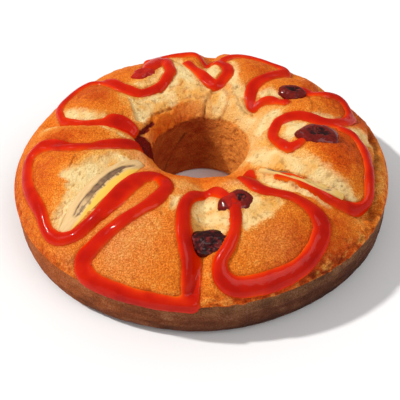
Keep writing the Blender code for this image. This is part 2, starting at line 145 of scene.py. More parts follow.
# Swollen parts: degrees, mm along the crust, half length out, half length round, rise
SWELLS = [
    (249, 80, 26, 24, 2.5),
    (294, 80, 24, 24, 2.5),
    (199, 68, 24, 18, 2.5),
    (177, 68, 26, 8, 2.0),
    (153, 58, 20, 18, 2.0),
    (121, 54, 16, 14, 1.0),
    (60, 54, 20, 18, 1.5),
    (18, 74, 18, 14, 3.5),
    (56, 94, 16, 22, -4.0),
    (340, 66, 30, 17, 5.5),
    (318, 96, 14, 12, 1.0),
    (110, 92, 16, 16, -3.5),
    (36, 104, 10, 8, -3.0),
    (26, 108, 8, 10, -2.0),
    (15, 74, 16, 13, -5.0),
    (352, 116, 7, 26, 1.5),
]

# Poured glaze: paths of (degrees, mm along the crust, width in mm)
GLAZE = {
    "left_loop": [
        (186, 13, 7), (191.5, 35, 9), (192, 57, 10), (182.5, 79, 10), (183, 96, 11),
        (194.5, 100, 11), (208, 99, 10), (218.5, 104, 9), (225, 96, 10), (229, 78, 10),
        (230.5, 60, 15), (229.5, 47, 14), (229.5, 37, 12), (236.5, 27, 9), (249.5, 40, 9),
        (248.5, 55, 11), (244.5, 65, 9), (239.5, 77, 10), (234.5, 93, 12), (232.5, 106, 13),
        (237.5, 114, 13), (247, 116, 13), (258, 117, 12), (266, 118, 11)],
    "front_loop": [
        (266, 119, 10), (266, 105, 12), (266, 91, 12), (264, 78, 11), (262.5, 66, 9),
        (262.5, 54, 8), (267, 43, 8), (275.5, 38, 8), (281.5, 49, 7), (283.5, 59, 7),
        (282.5, 69, 7), (280.5, 77, 7), (278, 84, 8), (275, 91, 9), (274.5, 97, 10),
        (275.5, 103, 12), (279.5, 108, 13), (289.5, 109, 14), (298, 107, 13),
        (305.5, 100, 13), (310.5, 91, 13), (311.5, 78, 12), (309, 67, 10), (304, 60, 8),
        (299, 52, 9.5), (299.5, 41, 11.5), (302, 32, 12.5), (306, 25, 11.5)],
    "right_run": [
        (316, 44, 3), (318.5, 53, 4), (319.5, 60, 4), (321, 71, 5), (322.5, 83, 6),
        (325.5, 94, 8), (329.5, 103, 10), (333.5, 104, 11), (337, 98, 10), (344, 93, 10),
        (350, 90, 10), (356, 84, 9), (359, 75, 8)],
    "right_bow": [
        (13, 92, 9), (8, 82, 9), (4, 64, 9), (10, 46, 8), (8, 32, 8), (354, 27, 7),
        (338, 36, 8), (334, 43, 8), (340, 48, 6)],
    "right_back": [
        (2.5, 70, 7), (8, 82, 8), (14, 93, 10), (17.5, 92, 10), (21.5, 89, 10), (22.5, 83, 9),
        (24, 75, 9), (27.5, 68, 9), (30, 62, 7)],
    "back_hook": [
        (77, 66, 7), (68, 76, 8), (57, 78, 8), (47.5, 76, 9), (48.5, 58, 9),
        (50.5, 43, 9), (47.5, 33, 8), (41, 25, 6)],
    "back_drop": [(39, 26, 5), (36, 35, 6), (31, 41, 7), (24, 44, 8)],
    "back_bow": [
        (79, 62, 8), (73.5, 55, 8), (71, 45, 8), (75, 33, 8), (83, 38, 8), (90, 50, 7),
        (94.5, 62, 7)],
    "back_edge": [(84, 68, 7), (93, 76, 8), (106, 78, 8), (112, 74, 8)],
    "left_back": [
        (104, 68, 7), (105, 56, 8), (106, 48, 8), (115, 38, 8), (131, 38.5, 8), (136, 52, 9),
        (135.5, 66, 9), (137, 78, 9), (145, 85, 9), (157, 85, 8), (165.5, 78, 6)],
    "back_pool": [(107, 76, 8), (109, 68, 12), (112.5, 62, 14), (116, 57, 10)],
    "left_crack": [
        (166, 77, 5), (169.5, 60, 4), (168.5, 46, 5), (165.5, 38, 9), (166.5, 30, 11),
        (169, 22, 8)],
}

# Fruit: degrees, mm along the crust, turn, length, width, height, how far it is sunk
FRUIT = {
    "cherry_right": (346.8, 56.0, 4, 28.0, 20.0, 13.0, 1.6),
    "cherry_back": (31.0, 55.5, -42, 20.0, 15.0, 12.0, 1.5),
    "cherry_front": (285.3, 55.5, 97, 23.0, 18.0, 12.0, 3.2),
    "cherry_dark": (272.3, 79.5, 0, 16.5, 30.0, 14.0, 0.0),
    "cherry_back_left": (120.5, 54, 85, 19.0, 13.0, 11.0, 2.5),
}
# Fruit squeezed narrower toward the rim, and how square its outline is (1 is round)
FRUIT_TAPER = {"cherry_dark": 0.32, "cherry_right": -0.28, "cherry_front": -0.25}
FRUIT_SQUARE = {"cherry_dark": 0.75}
# Cherries broken open all over their top
FRUIT_BROKEN = {"cherry_dark"}
# Which look a cherry has, where it isn't the plain baked one
FRUIT_LOOK = {"cherry_dark": "dark_cherry", "cherry_back_left": "glazed_cherry"}

# How deep under the poured glaze a cherry's skin must lie to be covered, mm (large: never)
GLAZE_REACH = {
    "cherry_right": 3.0, "cherry_back": 2.5, "cherry_front": -0.2, "cherry_dark": 9.0,
    "cherry_back_left": -9.0,
}

# Banana slices: path of (degrees, mm along the crust, width)
BANANA = {
    "banana_left": [
        (212, 23, 8), (214.5, 36, 16), (217.5, 54, 20), (219.5, 72, 19), (220.5, 90, 13),
        (220.5, 98, 6)],
    "banana_right": [
        (314.5, 31, 4), (318.5, 46, 5), (321, 59, 5.5), (322.5, 69, 5.5), (324.5, 79, 5),
        (326.5, 88, 4)],
}
BANANA_THICK = 5.0
# Top of a slice: share of its width, share of its rise; then the places of its underside
BANANA_SECTION = [(-0.5, 0.15), (-0.33, 0.85), (-0.1, 1.0), (0.12, 1.0), (0.34, 0.8), (0.5, 0.1)]
BANANA_UNDER = (0.42, 0.2, 0.0, -0.2, -0.42)
# The slice that crumb and glaze almost cover, so its seeds and yellow show in places only
BANANA_BURIED = {"banana_right"}
BANANA_RISE = {"banana_left": 1.2, "banana_right": 0.7}

# Line of seeds: share of the slice's length, middle as a share of its width, half width in mm
SEED_LINE = (
    (0.08, 0.20, 0.33, 0.45, 0.57, 0.67, 0.78, 0.86),
    (0.20, 0.01, 0.01, 0.02, 0.05, 0.08, 0.11, 0.12),
    (0.2, 0.9, 1.7, 1.9, 1.7, 2.1, 1.9, 0.2),
)

# Areas where pale crumb shows through the torn crust: outlines in (degrees, mm along the crust)
CRUMB_AREAS = {
    "beside_left_slice": [
        (202, 53), (205, 60), (203, 66), (204, 75), (208, 73), (212, 76), (213, 85), (214, 93),
        (217, 99), (221, 98), (227, 68), (220, 34), (214, 28), (208, 29), (201, 36)],
    "right_lobe_flank": [
        (338, 14), (332, 30), (330, 42), (332, 50), (330.5, 64), (329.5, 78), (331, 87), (330, 96),
        (328, 95), (324, 75), (321, 58), (318, 38), (316, 24), (326, 12)],
    "between_right_strokes": [
        (313, 30), (316, 44), (318, 57), (320, 65), (321, 74), (321, 87), (318, 82), (318, 73),
        (315, 62), (309, 57), (305, 53), (307, 40)],
    "front_hollow": [
        (271, 40), (277, 46), (280, 56), (281, 64), (280, 71), (277, 77), (271, 77), (266, 72),
        (265, 62), (267, 50)],
    "right_of_front_cherry": [
        (290, 46), (294, 54), (297, 61), (303, 63), (303, 69), (297, 73), (291, 75), (285, 76),
        (284, 68), (288, 60)],
    "left_of_front": [(255, 50), (259, 49), (262, 56), (259, 61), (256, 60)],
    "back_slope": [
        (142, 40), (151, 31), (159, 24), (155, 18), (141, 19), (128, 17), (117, 18), (107, 20),
        (91, 22), (80, 26), (79, 33), (88, 38), (91, 46), (95, 60), (97, 72), (101, 72),
        (103, 50), (109, 38), (120, 33), (134, 33)],
    "back_fold": [(78, 30), (68, 30), (62, 23), (60, 17), (63, 11), (70, 8), (78, 11)],
    "right_of_back_bow": [
        (72, 62), (69, 48), (68, 38), (60, 27), (51, 28), (54, 36), (61, 40), (66, 52)],
    "left_lobe_edge": [(161, 78), (166, 76), (169, 62), (168, 49), (164, 43), (163, 55), (161, 68)],
    "inside_right_bow": [(10, 36), (6, 44), (3, 51), (351, 46), (345, 44), (342, 40), (350, 35)],
    "right_rim": [(2, 78), (5, 89), (4, 98), (4, 106), (359, 103), (357, 94), (359, 82)],
    "under_right_back_lobe": [(10, 57), (10, 68), (10, 83), (6.5, 72), (7, 60)],
    "inside_back_hook": [(43, 38), (39, 46), (33, 49), (32, 45), (36, 38), (40, 33)],
    "right_shoulder": [(17, 22), (22, 32), (20, 38), (15, 37), (13, 29), (4, 24), (354, 18), (8, 13)],
    "inside_back_bow": [(86, 53), (84, 56), (79, 57), (76, 46), (78, 39), (82, 41)],
    "inside_left_back": [
        (134, 57), (131, 50), (122, 46), (113, 51), (109, 54), (109, 48), (117, 42), (128, 41)],
}
# Narrow strips of pale crumb: paths of (degrees, mm along the crust, half width in mm)
CRUMB_STRIPS = [
    [(171, 86, 1.6), (171.5, 72, 2.0), (172, 60, 2.2), (174, 48, 2.0), (179, 37, 1.7),
     (183, 26, 1.4)],
]
# Swollen flaps of browned crust at the hole: outlines
FLAPS = {
    "back": [
        (122, 12), (117, 17), (108, 19), (101, 20), (89, 20), (82, 17), (83, 10), (85, 4),
        (100, 4), (119, 6)],
    "left_back": [(146, 15), (135, 17), (123, 15), (124, 9), (132, 5), (148, 4), (160, 5), (170, 10),
                  (161, 15)],
    "right_back": [(60, 20), (50, 26), (42, 24), (38, 14), (44, 6), (58, 7)],
}
# Cracks: depth, half width, darkness of the painted shade in them, path of (degrees, mm along the crust)
CRACKS = [
    (1.3, 0.9, 0.75, [(315, 32), (318, 45), (321, 58), (322, 68), (324, 75), (326, 84), (328, 94)]),
    (0.8, 0.7, 0.8, [(316, 57), (317, 64)]),
    (0.7, 0.7, 0.7, [(214, 86), (216, 90), (215, 96)]),
    (0.5, 0.8, 0.6, [(198, 62), (200, 65), (203, 68)]),
    (1.4, 1.2, 0.5, [(78, 30), (80, 22), (82, 15), (84, 5)]),
    (1.2, 1.0, 0.55, [(119, 17), (132, 17.5), (144, 19), (154, 18)]),
    (1.0, 0.9, 0.45, [(84, 21), (90, 22), (101, 21), (110, 18.5), (118, 17)]),
    (1.5, 1.6, 0.9, [(168, 17), (160, 15.5), (151, 15)]),
    (1.0, 1.0, 0.4, [(68, 30), (61, 22), (61, 13), (63, 6)]),
    (1.5, 1.5, 0.75, [(12, 112), (0, 108), (348, 103), (340, 106), (333, 113), (329, 114)]),
    (0.8, 0.8, 0.5, [(57, 27), (50, 22), (42, 18), (34, 20)]),
    (0.9, 0.9, 0.6, [(22, 112), (30, 108), (36, 100)]),
    (0.5, 0.7, 0.5, [(97, 30), (103, 27), (112, 24)]),
    (0.5, 0.7, 0.5, [(100, 36), (106, 33), (112, 31)]),
    (0.6, 0.8, 0.5, [(12, 58), (22, 62), (28, 66)]),
    (0.7, 0.8, 0.5, [(296, 118), (306, 115), (314, 113), (322, 113)]),
]
# Cracks in the hole wall: from and to, degrees and height in mm
HOLE_CRACKS = [((146, 12), (112, 32)), ((112, 32), (104, 37))]
# Dark jam soaked into the crack left of the hole: half width, path
JAM = [
    (2.8, [(168.5, 22), (171.5, 13), (175, 7), (180, 2), (182, -4), (184, -14)]),
    (1.8, [(168, 18), (160, 15.5), (150, 15)]),
]

# How brown the crust is baked: degrees, mm along the crust, half out, half round, amount
BAKED = [
    (345, 72, 22, 26, 0.62), (306, 108, 14, 26, 0.40), (14, 92, 20, 26, 0.55),
    (196, 84, 30, 26, 0.26), (146, 96, 14, 26, 0.20), (318, 88, 16, 14, 0.35),
    (152, 54, 14, 14, 0.25), (333, 72, 12, 8, 0.40),
    (30, 74, 24, 20, 0.30), (58, 60, 22, 16, 0.30), (146, 72, 18, 20, 0.35),
    (180, 66, 22, 8, 0.35), (104, 10, 9, 24, 0.25), (150, 9, 7, 10, 0.30),
    (296, 88, 24, 24, 0.30), (282, 113, 8, 60, 0.25), (220, 110, 10, 40, 0.10),
    (185, 108, 10, 50, 0.10), (120, 62, 14, 16, 0.25), (238, 96, 18, 16, 0.10),
    (258, 72, 20, 8, 0.20), (228, 22, 10, 14, 0.25), (275, 22, 10, 30, 0.22),
]
# Where the crust stayed so pale that crumb shows through it
WASHES = [
    (62, 22, 14, 26, 0.85), (18, 17, 12, 20, 0.80), (340, 14, 8, 14, 0.60),
    (178, 14, 8, 8, 0.70), (206, 22, 9, 13, 0.65), (258, 36, 8, 8, 0.40),
    (290, 40, 6, 9, 0.50),
]
# Where the crust is duller and lighter, as if floured
DUSTY = [(243, 84, 24, 20, 0.60), (292, 88, 14, 14, 0.25), (228, 108, 6, 12, 0.40)]
# Where fruit juice turned the crumb golden
STAINS = [
    (292, 70, 7, 9, 0.80), (120, 45, 7, 12, 0.50), (208, 45, 8, 9, 0.50), (320, 40, 10, 8, 0.55),
    (98, 26, 9, 18, 0.45), (300, 66, 8, 6, 0.50), (327, 66, 20, 5, 0.35), (70, 14, 8, 14, 0.5),
    (321, 41, 7, 6, 0.6),
]
# Where the crust stayed pale gold; the first row, on the right rim, and the row at 293 degrees, on the
# front right lobe, are painted light on crust turned away from the key light
PALE_GOLD = [
    (338, 107, 7, 34, 0.42),
    (20, 16, 14, 26, 0.70), (60, 14, 12, 16, 0.55), (345, 12, 12, 14, 0.60),
    (136, 44, 10, 12, 0.40), (205, 52, 16, 14, 0.35), (243, 86, 30, 26, 0.18),
    (292, 58, 12, 14, 0.40), (272, 106, 9, 8, 0.25), (330, 60, 26, 12, 0.35),
    (284, 92, 14, 7, 0.20), (262, 30, 6, 16, 0.25), (46, 66, 16, 8, 0.20),
    (293, 89, 9, 10, 0.14), (20, 62, 14, 8, 0.12),
]


def linear(red, green, blue):
    """A colour of 0 to 255 as eyes see it, turned to the renderer's scale."""
    c = np.array([red, green, blue], float) / 255.0
    return np.where(c <= 0.04045, c / 12.92, ((c + 0.055) / 1.055) ** 2.4)


CRUMB_COLOUR = linear(250, 222, 160)
CRUMB_SHADE = linear(232, 176, 90)
CRUMB_PORE = linear(176, 120, 56)
GOLD = linear(244, 170, 74)
ORANGE = linear(232, 121, 28)
BROWN = linear(206, 78, 8)
DEEP_BROWN = linear(126, 42, 8)
PEACH = linear(216, 142, 84)
WALL_LIGHT = linear(146, 98, 60)
WALL_COLOUR = linear(112, 62, 38)
# Dark brown of the wall: painted shade on its side away from the key light, and darker at its foot
WALL_DARK = linear(64, 33, 20)
# Painted light: warmer, lighter brown for the wall's side toward the key light
WALL_LIT_WARM = linear(174, 86, 32)
WALL_PALE = linear(168, 120, 80)
# The hole wall on its lit side, and painted shade for its side away from the key light
HOLE_COLOUR = linear(250, 156, 66)
HOLE_PAINTED_SHADE = linear(146, 50, 12)
JAM_COLOUR = linear(104, 12, 4)
# Colour of the band along the glaze edges: soaked juice and painted shade
SOAKED_AND_SHADED_COLOUR = linear(158, 38, 8)

# Light and dark dots of crust and of crumb: value of the noise, what it multiplies the colour by; on the
# crust the light dots are partly painted highlights on the grain and the dark dots partly painted shade
# in its pits
WHITE = (1.0, 1.0, 1.0)
CRUST_DOTS = [(0.34, (0.76, 0.65, 0.53)), (0.45, (0.95, 0.91, 0.86)), (0.53, WHITE),
              (0.64, (1.20, 1.42, 2.1))]
CRUMB_DOTS = [(0.34, (0.95, 0.92, 0.86)), (0.48, WHITE), (0.66, (1.02, 1.03, 1.06))]
CRUST_ROUGHNESS = 0.72
JAM_ROUGHNESS = 0.12
CRUST_SPECULAR = 0.09

# Glaze from its thin edge to its thickest, and the clouds in it
GLAZE_DEPTHS = [(0.0, linear(224, 90, 10)), (0.22, linear(220, 55, 3)), (0.60, linear(211, 34, 1)),
                (1.0, linear(190, 20, 0))]
GLAZE_CLOUDS = [(0.34, (0.80, 0.55, 0.5)), (0.50, WHITE), (0.66, (1.10, 1.8, 1.2))]
GLAZE_CLOUDINESS = 0.8

# The wet film that makes the glints: thin, but it mirrors strongly
WET_FILM = {"Coat IOR": 3.0, "Coat Roughness": 0.05}
GLAZE_FILM = 0.045
CHERRY_FILM = 0.085

# Banana flesh along its Fibre value; the low end also takes the painted shade of the edge groove
BANANA_FLESH = [(0.0, linear(170, 138, 70)), (0.35, linear(220, 180, 122)),
                (0.9, linear(238, 204, 150))]
# Yellow of the flesh beside the seeds
BANANA_YELLOW = linear(246, 200, 84)
BANANA_SEEDS = [(0.38, linear(44, 26, 34)), (0.66, linear(108, 70, 64))]

# Camera: raised angle and tilt in degrees, distance in m, lens in mm, and its shift in its own plane, m
CAMERA_RAISED = 42.0
CAMERA_TILT = 2.2
CAMERA_DISTANCE = 0.605
CAMERA_LENS = 78.03
CAMERA_ACROSS = -0.00105
CAMERA_UP = -0.00174

# Strength of the light from all round
WORLD_LIGHT = 0.41
# Soft lamps: name, bearing and height in degrees, spread in degrees, strength, colour
SUNS = [
    ("key", 172.0, 46.0, 3.6, 2.45, (1.0, 0.98, 0.95)),
    ("fill", 316.0, 46.0, 40.0, 0.80, (1.0, 0.99, 0.97)),
]
# The floor: half its width and how far it lies below the cake, m
FLOOR_REACH = 12.0
FLOOR_DROP = 0.0002
FLOOR_COLOUR = (0.93, 0.93, 0.94, 1.0)


def smooth_path(points, step):
    """Catmull-Rom curve through rows of numbers, resampled at even steps of its first three."""
    rows = [np.array(p, float) for p in points]
    rows = [2 * rows[0] - rows[1]] + rows + [2 * rows[-1] - rows[-2]]
    fine = []
    for k in range(1, len(rows) - 2):
        a, b, c, d = rows[k - 1:k + 3]
        for t in np.linspace(0.0, 1.0, 24, endpoint=False):
            fine.append(0.5 * (2 * b + (c - a) * t + (2 * a - 5 * b + 4 * c - d) * t ** 2
                               + (3 * b - a - 3 * c + d) * t ** 3))
    fine.append(rows[-2])
    fine = np.array(fine)
    if step is None:
        return fine
    axes = min(3, fine.shape[1])
    gaps = np.linalg.norm(np.diff(fine[:, :axes], axis=0), axis=1)
    run = np.concatenate([[0.0], np.cumsum(gaps)])
    count = max(2, int(round(run[-1] / step)) + 1)
    marks = np.linspace(0.0, run[-1], count)
    return np.stack([np.interp(marks, run, fine[:, k]) for k in range(fine.shape[1])], axis=1)


DOME = smooth_path(DOME_SECTION, None)
DOME_RUN = np.concatenate([[0.0], np.cumsum(np.linalg.norm(np.diff(DOME, axis=0), axis=1))])
DOME_LENGTH = DOME_RUN[-1]


def section(s):
    """Radius and height of the plain section; it runs on down the wall and down the hole."""
    s = np.asarray(s, float)
    r = np.interp(s, DOME_RUN, DOME[:, 0])
    z = np.interp(s, DOME_RUN, DOME[:, 1])
    over = np.clip(s - DOME_LENGTH, 0.0, None)
    under = np.clip(-s, 0.0, None)
    r = r - np.clip(over / EDGE_SET_BACK_RUN, 0.0, 1.0) * EDGE_SET_BACK
    r = r - (HOLE_RADIUS - HOLE_BOTTOM_RADIUS) * under / HOLE_EDGE_HEIGHT
    return r, z - over - under


def rim_wave(a):
    """How far the rim strays from a true circle."""
    return RIM_WAVE * np.sin(2 * a) * np.sin(5 * a + 1.0)


def base_point(deg, s):
    """Place on the plain crust, before any relief."""
    r, z = section(s)
    a = np.radians(deg)
    r = r + rim_wave(a) * np.clip(r / RIM_WAVE_START - 1.0, 0.0, 1.0)
    return np.stack([r * np.cos(a), r * np.sin(a), z], axis=-1)


def base_normal(deg, s):
    """Which way the plain crust faces."""
    r0, z0 = section(np.asarray(s, float) - NORMAL_REACH)
    r1, z1 = section(np.asarray(s, float) + NORMAL_REACH)
    a = np.radians(deg)
    length = np.hypot(r1 - r0, z1 - z0)
    nr = -(z1 - z0) / length
    nz = (r1 - r0) / length
    return np.stack([nr * np.cos(a), nr * np.sin(a), nz], axis=-1)


def from_piece(points, start, end):
    """Distance from each point to one straight piece, and the share along it of the nearest place."""
    d = end - start
    t = np.clip(((points - start) @ d) / max(float(d @ d), 1e-9), 0.0, 1.0)
    return np.linalg.norm(points - start - t[:, None] * d, axis=1), t


def path_distance(points, path, widths=None):
    """Shortest distance from each point to a run of straight pieces, less the width there."""
    best = np.full(len(points), FAR)
    for k in range(len(path) - 1):
        gap, t = from_piece(points, path[k], path[k + 1])
        if widths is not None:
            gap = gap - (widths[k] + (widths[k + 1] - widths[k]) * t)
        best = np.minimum(best, gap)
    return best


def ring_step(deg, start):
    """Turn from start to deg the short way round, in degrees."""
    return (np.asarray(deg) - start + 180.0) % 360.0 - 180.0


def unwrap(path):
    """The path's rows with degrees that run on past 0 and 360."""
    out = [list(path[0])]
    for row in path[1:]:
        row = list(row)
        row[0] = out[-1][0] + float(ring_step(row[0], out[-1][0]))
        out.append(row)
    return out


def curve_rows(path, every):
    """One in so many rows of a smooth curve through a path."""
    return smooth_path(unwrap(path), None)[::every]


def on_crust(rows):
    """Places on the plain crust for rows that start with degrees and mm along it."""
    return base_point(rows[:, 0], rows[:, 1])


CREASE_PATHS = [(depth, half_width, on_crust(curve_rows(path, 8)))
                for depth, half_width, path in CREASES]


def fade(s):
    """1 on the dome, falling to 0 at the rim and in the hole, where relief ends."""
    outer = np.clip((DOME_LENGTH - 1.0 - s) / RELIEF_RUN_OUT, 0.0, 1.0)
    inner = np.clip((s - RELIEF_START) / RELIEF_RUN_IN, 0.0, 1.0)
    return outer * outer * (3 - 2 * outer) * inner * inner * (3 - 2 * inner)


def relief(deg, s):
    """Height of the part's crust over the plain section."""
    deg = np.atleast_1d(np.asarray(deg, float))
    s = np.atleast_1d(np.asarray(s, float))
    points = base_point(deg, s)
    h = np.zeros(len(deg))
    for depth, half_width, path in CREASE_PATHS:
        d = path_distance(points, path) / half_width
        h -= depth * np.exp(-d ** CREASE_POWER)
    return (h + blobs(deg, s, SWELLS)) * fade(s)


def crust_point(deg, s):
    """Place on the part's crust."""
    deg = np.atleast_1d(np.asarray(deg, float))
    s = np.atleast_1d(np.asarray(s, float))
    return base_point(deg, s) + base_normal(deg, s) * relief(deg, s)[:, None]


def lattice(ix, iy, iz, seed):
    """One repeatable number between -1 and 1 for each whole-number place."""
    h = (ix * 374761393 + iy * 668265263 + iz * 1274126177 + seed * 974634777) & 0xFFFFFFFF
    h = ((h ^ (h >> 13)) * 1103515245) & 0xFFFFFFFF
    h = ((h ^ (h >> 16)) * 2246822519) & 0xFFFFFFFF
    return (h >> 8).astype(float) / 8388607.5 - 1.0


def noise(points, size, seed=0):
    """Smooth noise between -1 and 1 with lumps of the given size in mm."""
    q = points / size + 1000.0
    i = np.floor(q).astype(np.int64)
    f = q - i
    f = f * f * (3 - 2 * f)
    total = np.zeros(len(points))
    for corner in range(8):
        cx, cy, cz = corner & 1, (corner >> 1) & 1, corner >> 2
        weight = (np.where(cx, f[:, 0], 1 - f[:, 0]) * np.where(cy, f[:, 1], 1 - f[:, 1])
                  * np.where(cz, f[:, 2], 1 - f[:, 2]))
        total += weight * lattice(i[:, 0] + cx, i[:, 1] + cy, i[:, 2] + cz, seed)
    return total


def rough(points, size, seed=0, layers=3):
    """Several layers of noise, each half as large and half as strong."""
    total = np.zeros(len(points))
    strength = 1.0
    for k in range(layers):
        total += noise(points, size / 2 ** k, seed + 17 * k) * strength
        strength *= 0.5
    return total / 1.75


def step_up(x, low, high):
    """Smooth step from 0 at low to 1 at high."""
    t = np.clip((x - low) / (high - low), 0.0, 1.0)
    return t * t * (3 - 2 * t)


def outline_distance(points, corners):
    """Distance to an outline on the crust, negative inside it."""
    ring = unwrap(list(corners) + [corners[0]])
    fine = []
    for p, q in zip(ring, ring[1:]):
        for t in (0.0, 0.25, 0.5, 0.75):
            fine.append([p[0] + (q[0] - p[0]) * t, p[1] + (q[1] - p[1]) * t])
    fine = np.array(fine)
    loop = base_point(fine[:, 0], fine[:, 1])
    loop = np.concatenate([loop, loop[:1]])
    low, high = loop.min(axis=0) - OUTLINE_REACH, loop.max(axis=0) + OUTLINE_REACH
    out = np.full(len(points), FAR)
    near = ((points > low) & (points < high)).all(axis=1)
    some = points[near]
    gap = path_distance(some, loop)
    inside = np.zeros(len(some), bool)
    for p, q in zip(loop, loop[1:]):
        cross = (p[1] > some[:, 1]) != (q[1] > some[:, 1])
        if cross.any():
            slope = (q[0] - p[0]) / (q[1] - p[1] if q[1] != p[1] else 1e-9)
            inside ^= cross & (some[:, 0] < p[0] + slope * (some[:, 1] - p[1]))
    out[near] = np.where(inside, -gap, gap)
    return out


def near_runs(points, path, reach, pieces):
    """Short runs of a path: each one's first row, its points, and which points are near it."""
    for k in range(0, len(path) - 1, pieces):
        run = path[k:k + pieces + 1]
        near = ((points > run.min(axis=0) - reach) & (points < run.max(axis=0) + reach)).all(axis=1)
        yield k, run, np.where(near)[0]


def near_path(points, path, reach, widths=None):
    """Distance to a path, worked out only for points within reach of it."""
    best = np.full(len(points), FAR)
    for k, run, rows in near_runs(points, path, reach, 6):
        part = None if widths is None else widths[k:k + len(run)]
        best[rows] = np.minimum(best[rows], path_distance(points[rows], run, part))
    return best


STRIP_ROWS = [curve_rows(path, 8) for path in CRUMB_STRIPS]
STRIP_PATHS = [(on_crust(rows), rows[:, 2]) for rows in STRIP_ROWS]
CRACK_PATHS = [(depth, half_width, dark, on_crust(curve_rows(path, 6)))
               for depth, half_width, dark, path in CRACKS]
JAM_PATHS = [(half_width, on_crust(curve_rows(path, 6))) for half_width, path in JAM]


def blobs(deg, s, places):
    """Sum of soft spots: degrees, mm along the crust, half out, half round, amount."""
    radius = section(s)[0]
    total = np.zeros(len(deg))
    for at, along, out, round_, amount in places:
        u = (s - along) / out
        v = np.radians(ring_step(deg, at)) * radius / round_
        total += amount * np.exp(-(u * u + v * v))
    return total


def even_rows(path, step):
    """Degrees, mm along the crust and width at even steps of a smooth curve through a path."""
    placed = [tuple(base_point(d, s)) + (d, s, w) for d, s, w in unwrap(path)]
    return smooth_path(placed, step)[:, 3:]


GLAZE_ROWS = [even_rows(path, GLAZE_PATH_STEP) for path in GLAZE.values()]
GLAZE_PATHS = [(on_crust(rows), rows[:, 2] / 2.0) for rows in GLAZE_ROWS]


def glaze_gap(points):
    """Distance to the edge of the nearest glaze: negative inside it, and that stroke's half width."""
    best = np.full(len(points), FAR)
    half = np.full(len(points), 4.0)
    for path, widths in GLAZE_PATHS:
        for k, run, rows in near_runs(points, path, GLAZE_NEAR, 5):
            for j in range(len(run) - 1):
                gap, t = from_piece(points[rows], run[j], run[j + 1])
                wide = widths[k + j] + (widths[k + j + 1] - widths[k + j]) * t
                closer = gap - wide < best[rows]
                best[rows[closer]] = (gap - wide)[closer]
                half[rows[closer]] = wide[closer]
    return best, half


def hole_edge(deg):
    """How far out along the crust the browned hole wall reaches, mm."""
    a = np.radians(deg)
    return 4.5 + 3.5 * np.clip(np.cos(a - 0.5), 0.0, 1.0)


def hole_looks(points, deg):
    """Rough, streaked wall of the hole: colour, painted darker on the side away from the key light as
    painted shade, and how far it stands proud.
    """
    a = np.radians(deg)
    around = np.stack([a * HOLE_RADIUS, points[:, 2] * 2.2 + a * 9.0, np.zeros(len(a))], axis=1)
    streak = rough(around, 7.0, 72) + 0.4 * noise(around, 2.2, 73)
    scab = step_up(rough(around, 4.0, 74), 0.10, 0.35)
    # lit is 1 where the key light reaches the hole wall; the rest of the wall gets painted shade
    lit = step_up(np.cos(a - math.radians(HOLE_LIT_SIDE)), 0.15, 0.85)
    ragged = 0.35 + 0.65 * lit
    colour = mix(HOLE_COLOUR, HOLE_PAINTED_SHADE, np.clip(0.92 - 0.84 * lit + 0.38 * streak * ragged, 0, 1))
    colour = mix(colour, DEEP_BROWN, step_up(rough(around, 3.0, 75), 0.30, 0.6) * 0.7 * ragged)
    return colour, (0.55 * scab + 0.35 * streak) * ragged


def under_fruit(points):
    """1 where a cherry lies on the crust, 0 away from it."""
    inside = np.zeros(len(points))
    for deg, s, turn, length, width, _, _ in FRUIT.values():
        centre, x, y = piece_frame(deg, s, turn)[:3]
        across = np.hypot((points - centre) @ x / length, (points - centre) @ y / width) * 2.0
        inside = np.maximum(inside, step_up(0.8 - across, 0.0, 0.25))
    return inside


def torn_fields(points):
    """Distance to the torn edge, browned flaps and bare crumb, the last two from 0 to 1."""
    warp = rough(points, 8.0, 5) * 2.6 + noise(points, 3.0, 9) * 1.1 + noise(points, 1.4, 8) * 0.5
    gap = np.full(len(points), FAR)
    for corners in CRUMB_AREAS.values():
        gap = np.minimum(gap, outline_distance(points, corners))
    for path, widths in STRIP_PATHS:
        gap = np.minimum(gap, near_path(points, path, STRIP_REACH, widths) + STRIP_NARROWER)
    flap = np.full(len(points), FAR)
    for corners in FLAPS.values():
        flap = np.minimum(flap, outline_distance(points, corners))
    flap_in = step_up(-(flap + 0.5 * warp), -0.3, 0.9)
    torn_gap = gap + warp
    soft = 1.0 + 2.4 * step_up(noise(points, 15.0, 66), -0.3, 0.4)
    crumb = step_up(-torn_gap / soft, -0.9, 1.1) * (1 - flap_in)
    return torn_gap, flap_in, crumb


def jam_share(across):
    """1 inside a jam stain, 0 outside it, for a distance in half widths."""
    return step_up(-across, -1.15, -0.75)


def crack_fields(points):
    """Depth of the cracks, the darkness of the shade painted into them, and where jam soaked in."""
    wander = points + np.stack([noise(points, 3.0, seed) for seed in (33, 34, 35)], axis=1) * CRACK_WANDER
    deep = np.zeros(len(points))
    dark = np.zeros(len(points))
    for depth, half_width, shade, path in CRACK_PATHS:
        d = near_path(wander, path, CRACK_REACH) / half_width
        edge = np.exp(-np.clip(d, 0.0, 9.0) ** 2)
        deep += depth * edge
        dark = np.maximum(dark, shade * edge)
    jam = np.zeros(len(points))
    for half_width, path in JAM_PATHS:
        jam = np.maximum(jam, jam_share(near_path(wander, path, JAM_REACH) / half_width))
    return deep, dark, jam


